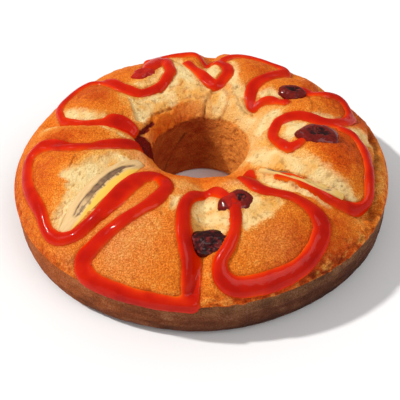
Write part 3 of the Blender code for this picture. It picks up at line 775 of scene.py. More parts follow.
def baked_colour(points, deg, s, torn_gap, flap_in):
    """Browned crust: gold to deep brown, with pale washes and dull patches."""
    bake = 0.50 + blobs(deg, s, BAKED) - blobs(deg, s, PALE_GOLD) + 0.14 * rough(points, 13.0, 51)
    bake += 0.25 * step_up(s, DOME_LENGTH - 12.0, DOME_LENGTH)
    bake -= 0.42 * np.exp(-np.clip(torn_gap, 0.0, None) / PALE_LIP)
    bake += 0.12 * noise(points, 3.0, 52) + 0.14 * noise(points, 1.6, 53)
    bake += flap_in * (0.10 + 0.25 * rough(points, 7.0, 24))
    bake = np.clip(bake, 0.0, 1.35)
    colour = mix(GOLD, ORANGE, step_up(bake, 0.0, 0.5))
    colour = mix(colour, BROWN, step_up(bake, 0.5, 1.0))
    colour = mix(colour, DEEP_BROWN, step_up(bake, 1.0, 1.35))
    wash = np.clip(blobs(deg, s, WASHES) * (0.75 + 0.6 * rough(points, 9.0, 67)), 0.0, 1.0)
    thin = mix(CRUMB_COLOUR, GOLD, np.clip(0.55 + 0.6 * rough(points, 6.0, 68), 0, 1))
    colour = mix(colour, thin, wash)
    dust = np.clip(blobs(deg, s, DUSTY) * (0.8 + 0.5 * rough(points, 8.0, 69)), 0.0, 1.0)
    return mix(colour, PEACH, dust)


def crumb_colour(points, deg, s, pores):
    """Pale crumb, shaded, stained by juice and pitted with pores."""
    colour = mix(CRUMB_COLOUR, CRUMB_SHADE, np.clip(0.75 * rough(points, 6.0, 61) + 0.20, 0, 1))
    colour = mix(colour, GOLD, 0.8 * step_up(rough(points, 11.0, 63), 0.05, 0.5))
    stain = np.clip(blobs(deg, s, STAINS) * (0.9 + rough(points, 6.0, 70)), 0.0, 0.9)
    colour = mix(colour, GOLD, stain)
    return mix(colour, CRUMB_PORE, 0.55 * pores)


def surface_fields(deg, s):
    """Fine relief, colour, how quiet the grain is and how much jam, at each place of the crust."""
    points = base_point(deg, s)
    torn_gap, flap_in, crumb = torn_fields(points)
    edge = np.exp(-((torn_gap - 0.6) / 1.3) ** 2)
    pores = step_up(noise(points, 1.7, 97), 0.50, 0.72) * crumb
    rim = step_up(s, DOME_LENGTH - 10.0, DOME_LENGTH - 1.0)
    crags = 0.4 + 0.6 * np.clip(np.cos(np.radians(deg - CRAGGY_SIDE)), 0.0, 1.0)
    shore = step_up(s, DOME_LENGTH - 15.0, DOME_LENGTH - 3.0) * crags
    pits = step_up(noise(points, 2.4, 31) + 0.25 * shore, 0.60, 0.80)
    broken = rough(points, 3.5, 41) * 1.3 + noise(points, 1.9, 42) * 0.5
    cracks, dark, jam = crack_fields(points)
    glaze_edge = glaze_gap(points)[0]
    covered = step_up(-glaze_edge, -0.4, 1.2)

    grain = noise(points, 3.2, 3) * 0.16 + noise(points, 1.9, 4) * 0.24
    torn = rough(points, 8.0, 21) * 1.35 + noise(points, 2.6, 22) * 0.30
    fine = rough(points, 16.0, 2) * 0.55 + grain * (1 - 0.5 * crumb)
    fine += torn * crumb - CRUMB_DROP * crumb + LIP_RISE * edge - 0.3 * pores
    fine += flap_in * (0.8 + rough(points, 5.0, 23) * 0.5)
    fine += shore * broken - pits * (0.25 + 0.9 * shore + 0.3 * crumb) - cracks
    fine *= np.maximum(fade(s + 4.0), rim * step_up(DOME_LENGTH + 0.5 - s, 0.0, 3.0) * 0.8)
    fine = fine * (1 - covered) - UNDER_GLAZE * covered
    fine -= FRUIT_POCKET * under_fruit(points)

    colour = mix(baked_colour(points, deg, s, torn_gap, flap_in),
                 crumb_colour(points, deg, s, pores), crumb)
    colour = mix(colour, ORANGE, edge * step_up(noise(points, 3.0, 62), -0.1, 0.6) * 0.4)
    colour = mix(colour, DEEP_BROWN, pits * (0.3 + 0.3 * shore))
    # Painted shade in the hollows and painted light on the bumps of the broken rim
    colour = mix(colour, DEEP_BROWN, np.clip(-0.8 * broken, 0.0, 0.5) * shore)
    colour = mix(colour, GOLD, np.clip(0.9 * broken, 0.0, 0.7) * shore)
    # Painted shade in the cracks and along folds and flap edges
    colour = mix(colour, mix(DEEP_BROWN * 0.8, BROWN, 0.8 * crumb), dark)
    inside, proud = hole_looks(points, deg)
    hole = step_up(hole_edge(deg) + 2.2 * rough(points, 4.0, 71) - s, -0.7, 0.7)
    hole = np.where(s < HOLE_LOOKS_END, hole, 0.0)
    colour = mix(colour, inside, hole)
    colour = mix(colour, JAM_COLOUR, jam)
    # A dark red band along each glaze edge: juice soaked into the crust, and painted shade where the
    # glaze meets it
    soaked = np.exp(-((glaze_edge + 0.5 * rough(points, 5.0, 96)) / SOAKED_AND_SHADED_WIDTH) ** 2)
    colour = mix(colour, SOAKED_AND_SHADED_COLOUR, soaked * (0.5 - 0.25 * crumb))
    fine += hole * (proud - 0.3) * step_up(s - HOLE_START, 0.0, 3.0) * 0.8
    calm = 0.6 * step_up(34.0 - s, 0.0, 14.0) + 0.25 * np.clip(np.sin(np.radians(deg)), 0.0, 1.0)
    quiet = np.maximum(np.maximum(crumb, 0.7 * hole), calm)
    return fine, colour, np.clip(quiet - jam, 0.0, 1.0), jam


def mix(a, b, t):
    """Blend two colours, or rows of them, by the amounts in t."""
    a = np.atleast_2d(a)
    b = np.atleast_2d(b)
    return a + (b - a) * np.asarray(t)[:, None]


def make_piece(name, verts, faces, colours=None, extra=None):
    """A smooth mesh from places in mm, with a colour and named values at each place."""
    mesh = bpy.data.meshes.new(name)
    mesh.from_pydata((np.asarray(verts) * MM).tolist(), [], faces)
    mesh.update()
    if colours is not None:
        layer = mesh.color_attributes.new("Tint", "FLOAT_COLOR", "POINT")
        rgba = np.ones((len(verts), 4))
        rgba[:, :3] = colours
        layer.data.foreach_set("color", rgba.astype(np.float32).ravel())
    for key, values in (extra or {}).items():
        layer = mesh.attributes.new(key, "FLOAT", "POINT")
        layer.data.foreach_set("value", np.asarray(values, np.float32))
    mesh.polygons.foreach_set("use_smooth", [True] * len(mesh.polygons))
    obj = bpy.data.objects.new(name, mesh)
    bpy.context.scene.collection.objects.link(obj)
    return obj


def ring_faces(turns, count):
    """Quads of a grid that closes round the ring; row k holds count points."""
    kk, jj = np.meshgrid(np.arange(turns), np.arange(count - 1), indexing="ij")
    near = kk * count
    far = ((kk + 1) % turns) * count
    quads = np.stack([near + jj, near + jj + 1, far + jj + 1, far + jj], axis=-1)
    return quads.reshape(-1, 4).tolist()


def tube_faces(rows, count, flip=False):
    """Quads of a closed tube, with one many-sided face at each end."""
    faces = []
    for k in range(rows - 1):
        for j in range(count):
            i = (j + 1) % count
            near, far = k * count, (k + 1) * count
            quad = (near + j, near + i, far + i, far + j)
            faces.append((quad[0], quad[3], quad[2], quad[1]) if flip else quad)
    ends = [tuple(range(count))[::-1], tuple((rows - 1) * count + j for j in range(count))]
    return faces + [end[::-1] if flip else end for end in ends]


def full_point(deg, s):
    """Crust with its fine relief, kept inside the part's outline."""
    fine, colour, crumb, jam = surface_fields(deg, s)
    points = base_point(deg, s) + base_normal(deg, s) * (relief(deg, s) + fine)[:, None]
    reach = np.hypot(points[:, 0], points[:, 1])
    limit = np.minimum(1.0, (OUTER_RADIUS + CRUST_SPARE) / np.maximum(reach, 1.0))
    points[:, :2] *= limit[:, None]
    return points, colour, crumb, jam


def build_crust():
    """The domed crust and torn crumb, from the rim into the hole."""
    runs = np.arange(HOLE_START, DOME_LENGTH, CRUST_STEP)
    runs = np.append(runs, DOME_LENGTH)
    degs = np.arange(TURNS) * 360.0 / TURNS
    deg, s = [g.ravel() for g in np.meshgrid(degs, runs, indexing="ij")]
    points, colour, crumb, jam = full_point(deg, s)
    return make_piece("crust", points, ring_faces(TURNS, len(runs)), colour,
                      {"Crumb": crumb, "Jam": jam})


def wall_rows():
    """Radius and height of each row: down the wall, under the cake and up the hole."""
    rows = [(WALL_RADIUS + 0.5 - 0.01 * drop, EDGE_HEIGHT - drop)
            for drop in np.arange(WALL_STEP, EDGE_HEIGHT - BOTTOM_FILLET - 1.0, WALL_STEP)]
    centre = WALL_RADIUS - BOTTOM_FILLET
    for turn in range(0, 91, 10):
        a = math.radians(turn)
        rows.append((centre + BOTTOM_FILLET * math.cos(a), BOTTOM_FILLET * (1 - math.sin(a))))
    rows += [(radius, 0.0) for radius in BOTTOM_RINGS]
    for turn in range(0, 91, 15):
        a = math.radians(turn)
        rows.append((HOLE_BOTTOM_RADIUS + HOLE_FILLET * (1 - math.sin(a)),
                     HOLE_FILLET * (1 - math.cos(a))))
    for z in np.arange(HOLE_FILLET + HOLE_STEP, HOLE_EDGE_HEIGHT + HOLE_START - 0.5, HOLE_STEP):
        wider = (HOLE_RADIUS - HOLE_BOTTOM_RADIUS) * z / HOLE_EDGE_HEIGHT
        rows.append((HOLE_BOTTOM_RADIUS + wider, z))
    return np.array(rows)


def outer_wall_colour(points, a, z, streak, crusty, pits):
    """Mottled brown, warmer and lighter on the left as painted light, darker on the right as painted
    shade and darker at the foot, crusty on top.
    """
    mottle = 0.6 * streak + 0.5 * rough(points, 6.0, 95)
    # Painted shade grows toward the side away from the key light, painted light toward the side it falls
    # on
    shaded_side = 0.5 + 0.5 * np.cos(a - math.radians(WALL_SHADED_SIDE))
    lit_warmth = np.clip(np.cos(a - math.radians(WALL_LIT_SIDE)), 0.0, 1.0) ** 2
    foot = 1 - step_up(z, 4.0, 16.0)
    colour = mix(WALL_LIGHT, WALL_COLOUR, step_up(EDGE_HEIGHT - z, 3.0, 12.0))
    colour = mix(colour, WALL_LIT_WARM, lit_warmth)
    colour = mix(colour, WALL_PALE, np.clip(0.65 * mottle, 0, 0.6))
    colour = mix(colour, WALL_DARK, np.clip(0.6 * shaded_side ** 2 - 0.65 * mottle + 0.45 * foot, 0, 1))
    browned = mix(BROWN, ORANGE, np.clip(0.4 + 0.8 * rough(points, 4.0, 87), 0, 1))
    colour = mix(colour, browned, crusty)
    return mix(colour, DEEP_BROWN, pits * 0.7)


def cracked_hole(points, colour):
    """The hole wall's colour with its crack, drawn as a dark line of painted shade, and its jam stain."""
    crack = np.zeros(len(points))
    for ends in HOLE_CRACKS:
        line = np.array([[HOLE_RADIUS * math.cos(math.radians(d)),
                          HOLE_RADIUS * math.sin(math.radians(d)), h] for d, h in ends])
        crack = np.maximum(crack, np.exp(-(path_distance(points, line) / 0.8) ** 2))
    # The crack is painted shade alone; the wall has no groove there
    colour = mix(colour, DEEP_BROWN * 0.4, crack * 0.9)
    for half_width, path in JAM_PATHS:
        colour = mix(colour, JAM_COLOUR, jam_share(path_distance(points, path) / half_width))
    return colour


def between(first, middle, last):
    """Rows of the wall's grid, with the crust's two edges at its ends."""
    grid = np.concatenate([first[:, None], middle.reshape(TURNS, -1, 3), last[:, None]], axis=1)
    return grid.reshape(-1, 3)


def build_wall():
    """Outer wall, flat bottom and hole wall, joined to the crust's two edges."""
    rows = wall_rows()
    count = len(rows)
    degs = np.arange(TURNS) * 360.0 / TURNS
    deg = np.repeat(degs, count)
    a = np.radians(deg)
    r = np.tile(rows[:, 0], TURNS)
    z = np.tile(rows[:, 1], TURNS)
    outside = r > MIDDLE_RADIUS
    r = r + rim_wave(a) * (r > WAVY_FROM)
    points = np.stack([r * np.cos(a), r * np.sin(a), z], axis=1)
    under = step_up(z, EDGE_HEIGHT - 7.0, EDGE_HEIGHT) * outside
    streak = rough(points * np.array([0.35, 0.35, 1.5]), 4.0, 90)
    bump = rough(points, 5.0, 81) * 0.30 + noise(points, 1.8, 82) * 0.14 + 0.35 * streak
    ragged = under * (rough(points, 3.2, 83) * 1.1 - 0.6)
    drop = 1.2 + 1.8 * rough(points * np.array([1.0, 1.0, 0.3]), 7.0, 88)
    drop += 0.9 * noise(points, 2.2, 89)
    crusty = step_up(z - EDGE_HEIGHT + drop, -0.4, 0.4) * outside
    pits = step_up(noise(points, 2.2, 84), 0.5, 0.75) * under
    inside, proud = hole_looks(points, deg)
    push = np.where(outside, bump + ragged + 0.4 * crusty - 0.6 * pits,
                    -(bump + proud * step_up(z, 4.0, 12.0)))
    push = np.minimum(push, 0.6) * step_up(z, 0.0, 3.0)
    points = points + np.stack([np.cos(a), np.sin(a), np.zeros(len(a))], axis=1) * push[:, None]
    colour = np.where(outside[:, None], outer_wall_colour(points, a, z, streak, crusty, pits),
                      cracked_hole(points, inside))
    first, first_colour = full_point(degs, np.full(TURNS, DOME_LENGTH))[:2]
    last, last_colour = full_point(degs, np.full(TURNS, HOLE_START))[:2]
    quiet = np.concatenate([[0.0], np.where(rows[:, 0] > MIDDLE_RADIUS, 0.0, 0.7), [0.7]])
    return make_piece("wall", between(first, points, last), ring_faces(TURNS, count + 2),
                      between(first_colour, colour, last_colour),
                      {"Crumb": np.tile(quiet, TURNS), "Jam": np.zeros(TURNS * (count + 2))})


def build_glaze():
    """The poured glaze as one closed skin laid over the crust and sunk a little into it."""
    runs = np.arange(GLAZE_FROM, DOME_LENGTH + GLAZE_PAST_RIM, GLAZE_STEP)
    degs = np.arange(GLAZE_TURNS) * 360.0 / GLAZE_TURNS
    deg, s = [g.ravel() for g in np.meshgrid(degs, runs, indexing="ij")]
    points = base_point(deg, s)
    wobble = rough(points, 9.0, 91) * 0.55 + noise(points, 3.0, 92) * 0.25
    gap, half = glaze_gap(points)
    gap = gap + wobble * 0.8
    t = np.clip(1.0 + gap / half, 0.0, 1.0)
    high = GLAZE_HEIGHT * np.clip(half / GLAZE_FULL_HALF, 0.5, 1.0)
    lift = high * np.clip(1.0 - t ** 2.4, 0.0, 1.0) ** 0.6
    lift = np.where(gap > 0, -GLAZE_EDGE_SLOPE * gap, lift)
    grid = lift.reshape(GLAZE_TURNS, len(runs))
    for _ in range(2):
        soft = (grid + np.roll(grid, 1, 0) + np.roll(grid, -1, 0)) / 3.0
        soft[:, 1:-1] = (soft[:, :-2] + soft[:, 1:-1] + soft[:, 2:]) / 3.0
        grid = soft
    lift = np.clip(grid.ravel(), -1.0, None)
    keep = grid.ravel() > -0.95
    fine = (rough(points, 8.0, 93) * 0.22 + noise(points, 2.6, 94) * 0.05) * step_up(lift, 0.0, 1.0)
    normal = base_normal(deg, s)
    ground = base_point(deg, s) + normal * relief(deg, s)[:, None]
    top = ground + normal * (lift + fine)[:, None]
    reach = np.hypot(top[:, 0], top[:, 1])
    top[:, :2] *= np.minimum(1.0, (OUTER_RADIUS + GLAZE_SPARE) / np.maximum(reach, 1.0))[:, None]
    quads = np.array(ring_faces(GLAZE_TURNS, len(runs)))
    quads = quads[keep[quads].all(axis=1)]
    used = np.unique(quads)
    verts = np.concatenate([top[used], (ground - normal * GLAZE_SINK)[used]])
    thick = np.clip(np.tile(lift[used], 2) / GLAZE_HEIGHT, 0.0, 1.0)
    return make_piece("glaze", verts, closed_skin(quads, used, len(deg)), None, {"Thick": thick})


def closed_skin(quads, used, total):
    """Faces of a skin over the used places, the same below it, and walls round its edges."""
    index = np.full(total, -1)
    index[used] = np.arange(len(used))
    upper = index[quads]
    edges = {}
    for quad in upper.tolist():
        for a, b in zip(quad, quad[1:] + quad[:1]):
            edges[(a, b)] = edges.get((a, b), 0) + 1
    rim = [(b, a, a + len(used), b + len(used)) for a, b in edges if (b, a) not in edges]
    return upper.tolist() + (upper[:, ::-1] + len(used)).tolist() + rim


def piece_frame(deg, s, turn):
    """Centre on the crust and the directions along, across and up for a piece of fruit."""
    centre = crust_point(deg, s)[0]
    normal = Vector(base_normal(np.array([deg]), np.array([s]))[0])
    along = crust_point(deg, s + 2.0)[0] - crust_point(deg, s - 2.0)[0]
    x = Vector(along)
    x = (x - normal * x.dot(normal)).normalized()
    x = Matrix.Rotation(math.radians(turn), 3, normal) @ x
    y = normal.cross(x)
    return np.array(centre), np.array(x), np.array(y), np.array(normal)


def squared(value, power):
    """A sine or cosine whose circle is drawn out toward a square as the power falls."""
    return np.sign(value) * np.abs(value) ** power


def build_fruit(name):
    """A baked cherry: wrinkled skin, torn open on top where the seedy flesh shows."""
    deg, s, turn, length, width, height, sink = FRUIT[name]
    centre, x, y, n = piece_frame(deg, s, turn)
    centre = centre - n * sink
    seed = sum(ord(c) for c in name)
    half = (length / 2, width / 2, height / 2)
    polar = np.repeat(np.linspace(0.02, math.pi - 0.02, FRUIT_ROWS), FRUIT_TURNS)
    a = np.tile(np.arange(FRUIT_TURNS) * 2 * math.pi / FRUIT_TURNS, FRUIT_ROWS)
    square = FRUIT_SQUARE.get(name, 1.0)
    u = np.sin(polar) * squared(np.cos(a), square)
    v = np.sin(polar) * squared(np.sin(a), square) * (1.0 - FRUIT_TAPER.get(name, 0.0) * u)
    w = np.cos(polar)
    lump = 1.0 + 0.05 * np.sin(3 * a + seed) + 0.04 * np.sin(5 * a + 2 * polar + seed)
    dent = np.where(w > 0, FRUIT_DENT * np.exp(-((u - 0.1) ** 2 + v * v) / 0.12), 0.0)
    ball = np.stack([u * half[0], v * half[1], w * half[2]], axis=1)
    torn = np.exp(-((u - 0.1) ** 2 / 0.30 + v * v / 0.16)) * (w > 0)
    torn = step_up(torn + 0.5 * rough(ball, 4.0, seed + 3), 0.36, 0.56)
    wrinkle = rough(ball, 4.2, seed) * 0.75
    seeds = rough(ball, 1.7, seed + 1)
    if name in FRUIT_BROKEN:
        torn = np.maximum(torn, step_up(w + 0.3 * rough(ball, 5.0, seed + 5), 0.1, 0.5))
        wrinkle = wrinkle + rough(ball, 5.0, seed + 7) * 0.8 * (w > -0.1)
    push = wrinkle * (1 - torn) + torn * (seeds * 0.55 - 0.3)
    outward = ball / np.maximum(np.linalg.norm(ball, axis=1), 1e-6)[:, None]
    local = np.stack([u * half[0] * lump, v * half[1] * lump, (w - dent) * half[2]], axis=1)
    local = local + outward * push[:, None]
    verts = centre + local[:, :1] * x + local[:, 1:2] * y + local[:, 2:] * n
    above = np.clip((verts - centre) @ n, 0.0, None)
    gap = glaze_gap(verts - n * (above - sink)[:, None])[0]
    reach = GLAZE_REACH[name]
    glazed = step_up(-(gap + 0.8 * rough(ball, 4.0, seed + 9)), reach - 0.9, reach + 0.3)
    torn = torn * (1 - glazed)
    # The flesh value follows the torn relief's seeds, for painted shade low and painted glints high
    return make_piece(name + "_skin", verts, tube_faces(FRUIT_ROWS, FRUIT_TURNS, flip=True), None,
                      {"Torn": torn, "FleshShadeGlint": np.clip(0.5 + seeds, 0, 1), "Glazed": glazed})


def banana_seeds(place, off, half, share):
    """Two dark lines of seeds with teeth toward one side, 0 to 1."""
    line = np.exp(-((np.abs(off) - half) / 0.55) ** 2)
    filled = (np.abs(off) < half) * (1 - 0.75 * step_up(share, 0.62, 0.70))
    reach = half + 2.2 + 1.2 * noise(place, 2.0, 106)
    comb = step_up(noise(place * np.array([1.0, 0.25, 1.0]), 0.9, 104), -0.1, 0.35)
    teeth = comb * step_up(reach - off, 0.0, 0.8) * (off > 0)
    seeds = np.maximum(np.maximum(line, 0.8 * filled), 0.7 * teeth)
    return seeds * (0.78 + 0.22 * step_up(noise(place, 2.6, 103), -0.4, 0.2))


def banana_section():
    """Share of the width and of the rise at each point round a slice: its top, then its underside."""
    across = np.linspace(-0.5, 0.5, BANANA_TURNS)
    up = np.interp(across, [p[0] for p in BANANA_SECTION], [p[1] for p in BANANA_SECTION])
    up = np.convolve(np.pad(up, 3, mode="edge"), np.ones(7) / 7, mode="valid")
    flat = np.zeros(len(BANANA_UNDER))
    return np.concatenate([across, BANANA_UNDER]), np.concatenate([up, flat])


def build_banana(name):
    """A long slice of baked banana with its fibres and its line of seeds."""
    rows = even_rows(BANANA[name], BANANA_STEP)
    deg, s, width = rows.T
    normal = base_normal(deg, s)
    h = relief(deg, s)
    h = np.convolve(np.pad(h, 12, mode="edge"), np.ones(25) / 25, mode="valid")
    centre = base_point(deg, s) + normal * h[:, None]
    side = np.cross(normal, np.gradient(centre, axis=0))
    side /= np.linalg.norm(side, axis=1)[:, None]
    section_across, section_up = banana_section()
    count = len(section_across)
    across = np.tile(section_across, len(rows))
    up = np.tile(section_up, len(rows))
    on_top = np.tile(np.arange(count) < BANANA_TURNS, len(rows))
    at = np.repeat(np.arange(len(rows)), count)
    place = np.stack([at * BANANA_STEP, across * width[at], np.zeros(len(at))], axis=1)
    share = at / at.max()
    middle = np.interp(share, SEED_LINE[0], SEED_LINE[1]) * width[at]
    half = np.interp(share, SEED_LINE[0], SEED_LINE[2])
    off = across * width[at] - middle + 0.35 * noise(place, 3.4, 102)
    seeds = banana_seeds(place, off, half, share)
    ends = step_up(share, 0.07, 0.12) * step_up(1.0 - share, 0.14, 0.18)
    fibre = rough(place * np.array([0.25, 1.0, 1.0]), 1.6, 101) * 0.22
    groove = np.exp(-(off / 1.6) ** 2) * ends
    # A groove near the slice's upper edge, also darkened in the Fibre value as painted shade
    rim_line = np.exp(-((across + 0.36) / 0.025) ** 2) * step_up(noise(place, 4.0, 105), -0.4, 0.2)
    detail = fibre - 0.5 * groove - 0.25 * seeds * ends - 0.3 * rim_line
    rise = BANANA_RISE[name]
    lift = rise * up + detail * step_up(0.5 - np.abs(across), 0.0, 0.12)
    height = np.where(on_top, lift, -(BANANA_THICK - rise))
    verts = centre[at] + side[at] * (across * width[at])[:, None] + normal[at] * height[:, None]
    flank = step_up(off, 2.6, 5.2)
    if name in BANANA_BURIED:
        flank = 0.22 + 0.5 * rough(place, 5.0, 107)
        seeds = seeds * (0.3 + 0.7 * step_up(noise(place, 5.0, 108), -0.5, 0.1))
    # Fibre also carries the painted shade of the upper edge's groove
    return make_piece(name + "_flesh", verts, tube_faces(len(rows), count), None, {
        "Seeds": seeds * ends * on_top, "Flank": flank * on_top,
        "Fibre": np.clip(0.5 + fibre * 1.5 - 0.5 * rim_line, 0, 1)})


def new_material(name):
    mat = bpy.data.materials.new(name)
    mat.use_nodes = True
    nodes = mat.node_tree.nodes
    return mat, nodes, mat.node_tree.links, nodes["Principled BSDF"]


def set_inputs(node, values):
    """Constant values, on the node's own sockets."""
    for key, value in values.items():
        node.inputs[key].default_value = value


def add_noise(nodes, links, scale, detail, roughness):
    """Noise over the piece's own coordinates."""
    node = nodes.new("ShaderNodeTexNoise")
    set_inputs(node, {"Scale": scale, "Detail": detail, "Roughness": roughness})
    links.new(nodes.new("ShaderNodeTexCoord").outputs["Object"], node.inputs["Vector"])
    return node.outputs["Fac"]


def add_ramp(nodes, links, value, stops):
    """Colours laid out along a value."""
    node = nodes.new("ShaderNodeValToRGB")
    ramp = node.color_ramp
    while len(ramp.elements) < len(stops):
        ramp.elements.new(0.5)
    for element, (at, colour) in zip(ramp.elements, stops):
        element.position = at
        element.color = (*colour, 1.0)
    links.new(value, node.inputs["Fac"])
    return node.outputs["Color"]


def add_attribute(nodes, key, output="Fac"):
    """What the mesh carries under that name."""
    node = nodes.new("ShaderNodeAttribute")
    node.attribute_name = key
    return node.outputs[output]


def add_bump(nodes, links, height, strength, depth, socket):
    """Fine relief in the light alone."""
    node = nodes.new("ShaderNodeBump")
    set_inputs(node, {"Strength": strength, "Distance": depth})
    links.new(height, node.inputs["Height"])
    links.new(node.outputs["Normal"], socket)


def add_mix(nodes, links, kind, factor, a, b):
    """Two colours mixed; factor, a and b are sockets or constants."""
    node = nodes.new("ShaderNodeMix")
    node.data_type = "RGBA"
    node.blend_type = kind
    for socket, value in ((node.inputs[0], factor), (node.inputs[6], a), (node.inputs[7], b)):
        if isinstance(value, bpy.types.NodeSocket):
            links.new(value, socket)
        elif isinstance(value, (int, float)):
            socket.default_value = value
        else:
            socket.default_value = (*value, 1.0)
    return node.outputs[2]


def crust_material():
    """Painted crust with dots of speckle, of painted highlight and of painted shade, quieter on crumb and
    wet where jam lies.
    """
    mat, nodes, links, shader = new_material("baked_crust")
    speckle = add_noise(nodes, links, 1150.0, 1.0, 0.5)
    dots = add_ramp(nodes, links, speckle, CRUST_DOTS)
    quiet = add_ramp(nodes, links, speckle, CRUMB_DOTS)
    grain = add_mix(nodes, links, "MIX", add_attribute(nodes, "Crumb"), dots, quiet)
    tint = add_attribute(nodes, "Tint", "Color")
    links.new(add_mix(nodes, links, "MULTIPLY", 1.0, tint, grain), shader.inputs["Base Color"])
    gloss = nodes.new("ShaderNodeMapRange")
    set_inputs(gloss, {"To Min": CRUST_ROUGHNESS, "To Max": JAM_ROUGHNESS})
    links.new(add_attribute(nodes, "Jam"), gloss.inputs["Value"])
    links.new(gloss.outputs["Result"], shader.inputs["Roughness"])
    shader.inputs["Specular IOR Level"].default_value = CRUST_SPECULAR
    fine = add_noise(nodes, links, 900.0, 2.0, 0.6)
    add_bump(nodes, links, fine, 1.0, 0.0012, shader.inputs["Normal"])
    return mat


def glaze_material():
    """Clouded red glaze, orange where it is thin, under a wet film."""
    mat, nodes, links, shader = new_material("red_glaze")
    depth = add_ramp(nodes, links, add_attribute(nodes, "Thick"), GLAZE_DEPTHS)
    cloud = add_ramp(nodes, links, add_noise(nodes, links, 70.0, 2.0, 0.5), GLAZE_CLOUDS)
    colour = add_mix(nodes, links, "MULTIPLY", GLAZE_CLOUDINESS, depth, cloud)
    links.new(colour, shader.inputs["Base Color"])
    set_inputs(shader, {"Roughness": 0.25, "Specular IOR Level": 0.02})
    set_inputs(shader, {"Coat Weight": GLAZE_FILM, **WET_FILM})
    ripple = add_noise(nodes, links, 320.0, 3.0, 0.6)
    add_bump(nodes, links, ripple, 0.55, 0.0006, shader.inputs["Normal"])
    beads = add_noise(nodes, links, 300.0, 2.0, 0.5)
    add_bump(nodes, links, beads, 0.4, 0.0006, shader.inputs["Coat Normal"])
    return mat


def cherry_material(name, skin, flesh, painted_glint, glaze_over):
    """Wrinkled skin, seedy flesh where it is torn, painted darker in its hollows and lighter to a painted
    glint on its bumps, and glaze where that lies over it.
    """
    mat, nodes, links, shader = new_material(name)
    grain = add_noise(nodes, links, 420.0, 3.0, 0.6)
    outside = add_ramp(nodes, links, grain, [(0.3, skin * 0.55), (0.7, skin * 1.35)])
    # The torn flesh: painted shade in the seeds' hollows, a painted glint on their bumps
    seeds = [(0.2, flesh * 0.35), (0.62, flesh), (0.95, painted_glint)]
    inside = add_ramp(nodes, links, add_attribute(nodes, "FleshShadeGlint"), seeds)
    colour = add_mix(nodes, links, "MIX", add_attribute(nodes, "Torn"), outside, inside)
    colour = add_mix(nodes, links, "MIX", add_attribute(nodes, "Glazed"), colour, glaze_over)
    links.new(colour, shader.inputs["Base Color"])
    set_inputs(shader, {"Roughness": 0.20, "Specular IOR Level": 0.05})
    set_inputs(shader, {"Coat Weight": CHERRY_FILM, **WET_FILM})
    add_bump(nodes, links, grain, 0.6, 0.0008, shader.inputs["Normal"])
    beads = add_noise(nodes, links, 420.0, 2.0, 0.5)
    add_bump(nodes, links, beads, 0.5, 0.0006, shader.inputs["Coat Normal"])
    return mat


def banana_material():
    """Baked banana: fibrous flesh, yellow at its flank, with dark seeds."""
    mat, nodes, links, shader = new_material("baked_banana")
    flesh = add_ramp(nodes, links, add_attribute(nodes, "Fibre"), BANANA_FLESH)
    flesh = add_mix(nodes, links, "MIX", add_attribute(nodes, "Flank"), flesh, BANANA_YELLOW)
    grain = add_noise(nodes, links, 500.0, 2.0, 0.6)
    dark = add_ramp(nodes, links, grain, BANANA_SEEDS)
    colour = add_mix(nodes, links, "MIX", add_attribute(nodes, "Seeds"), flesh, dark)
    links.new(colour, shader.inputs["Base Color"])
    set_inputs(shader, {"Roughness": 0.5, "Specular IOR Level": 0.12})
    add_bump(nodes, links, grain, 0.3, 0.0005, shader.inputs["Normal"])
    return mat


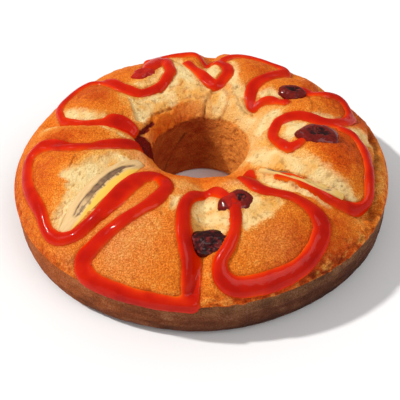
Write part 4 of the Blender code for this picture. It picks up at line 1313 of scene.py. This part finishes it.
def build_stage():
    """A pale floor and soft studio light."""
    mesh = bpy.data.meshes.new("floor")
    corners = [(x * FLOOR_REACH, y * FLOOR_REACH, 0) for x, y in ((-1, -1), (1, -1), (1, 1), (-1, 1))]
    mesh.from_pydata(corners, [], [(0, 1, 2, 3)])
    floor = bpy.data.objects.new("floor", mesh)
    bpy.context.scene.collection.objects.link(floor)
    floor.location.z = -FLOOR_DROP
    mat, _, _, shader = new_material("pale_floor")
    set_inputs(shader, {"Base Color": FLOOR_COLOUR, "Roughness": 0.8})
    floor.data.materials.append(mat)

    world = bpy.data.worlds.new("studio")
    world.use_nodes = True
    sky = world.node_tree.nodes["Background"]
    set_inputs(sky, {"Color": (1.0, 0.99, 0.98, 1.0), "Strength": WORLD_LIGHT})
    bpy.context.scene.world = world
    for name, bearing, height, spread, power, tint in SUNS:
        light = bpy.data.lights.new(name, "SUN")
        light.angle = math.radians(spread)
        light.energy = power
        light.color = tint
        lamp = bpy.data.objects.new(name, light)
        bpy.context.scene.collection.objects.link(lamp)
        b, h = math.radians(bearing), math.radians(height)
        toward = Vector((math.cos(h) * math.cos(b), math.cos(h) * math.sin(b), math.sin(h)))
        lamp.location = toward
        lamp.rotation_euler = toward.to_track_quat("Z", "Y").to_euler()


def build_camera():
    """The camera, aimed over the middle of the cake."""
    raised = math.radians(CAMERA_RAISED)
    tilt = math.radians(CAMERA_TILT)
    forward = Vector((0, math.cos(raised), -math.sin(raised)))
    up = Vector((0, math.sin(raised), math.cos(raised)))
    right = Vector((1, 0, 0))
    across = right * math.cos(tilt) - up * math.sin(tilt)
    above = right * math.sin(tilt) + up * math.cos(tilt)
    camera = bpy.data.objects.new("camera", bpy.data.cameras.new("camera"))
    bpy.context.scene.collection.objects.link(camera)
    camera.data.sensor_width = 36.0
    camera.data.lens = CAMERA_LENS
    turn = Matrix((across, above, -forward)).transposed().to_4x4()
    place = -forward * CAMERA_DISTANCE + across * CAMERA_ACROSS + above * CAMERA_UP
    camera.matrix_world = Matrix.Translation(place) @ turn
    bpy.context.scene.camera = camera


crust = build_crust()
wall = build_wall()
glaze = build_glaze()
crust_look = crust_material()
for piece in (crust, wall):
    piece.data.materials.append(crust_look)
glaze.data.materials.append(glaze_material())
for piece in (crust, wall, glaze):
    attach(piece, "root")
    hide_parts("cake")
banana_look = banana_material()
for name in BANANA:
    piece = build_banana(name)
    piece.data.materials.append(banana_look)
    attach(piece, "root")
    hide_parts(name)
# Each look: skin, flesh, painted glint on the torn flesh, glaze over it
CHERRY_LOOKS = {
    "cherry": cherry_material("baked_cherry", linear(112, 18, 10), linear(54, 8, 7),
                              linear(132, 40, 30), linear(166, 22, 7)),
    "dark_cherry": cherry_material("dark_cherry", linear(80, 10, 9), linear(62, 8, 9),
                                   linear(116, 30, 28), linear(146, 16, 6)),
    "glazed_cherry": cherry_material("glazed_cherry", linear(160, 20, 10), linear(90, 12, 10),
                                     linear(190, 70, 60), linear(182, 26, 8)),
}
for name in FRUIT:
    piece = build_fruit(name)
    piece.data.materials.append(CHERRY_LOOKS[FRUIT_LOOK.get(name, "cherry")])
    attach(piece, "root")
    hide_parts(name)
build_stage()
build_camera()
bpy.context.scene.view_settings.view_transform = "Standard"
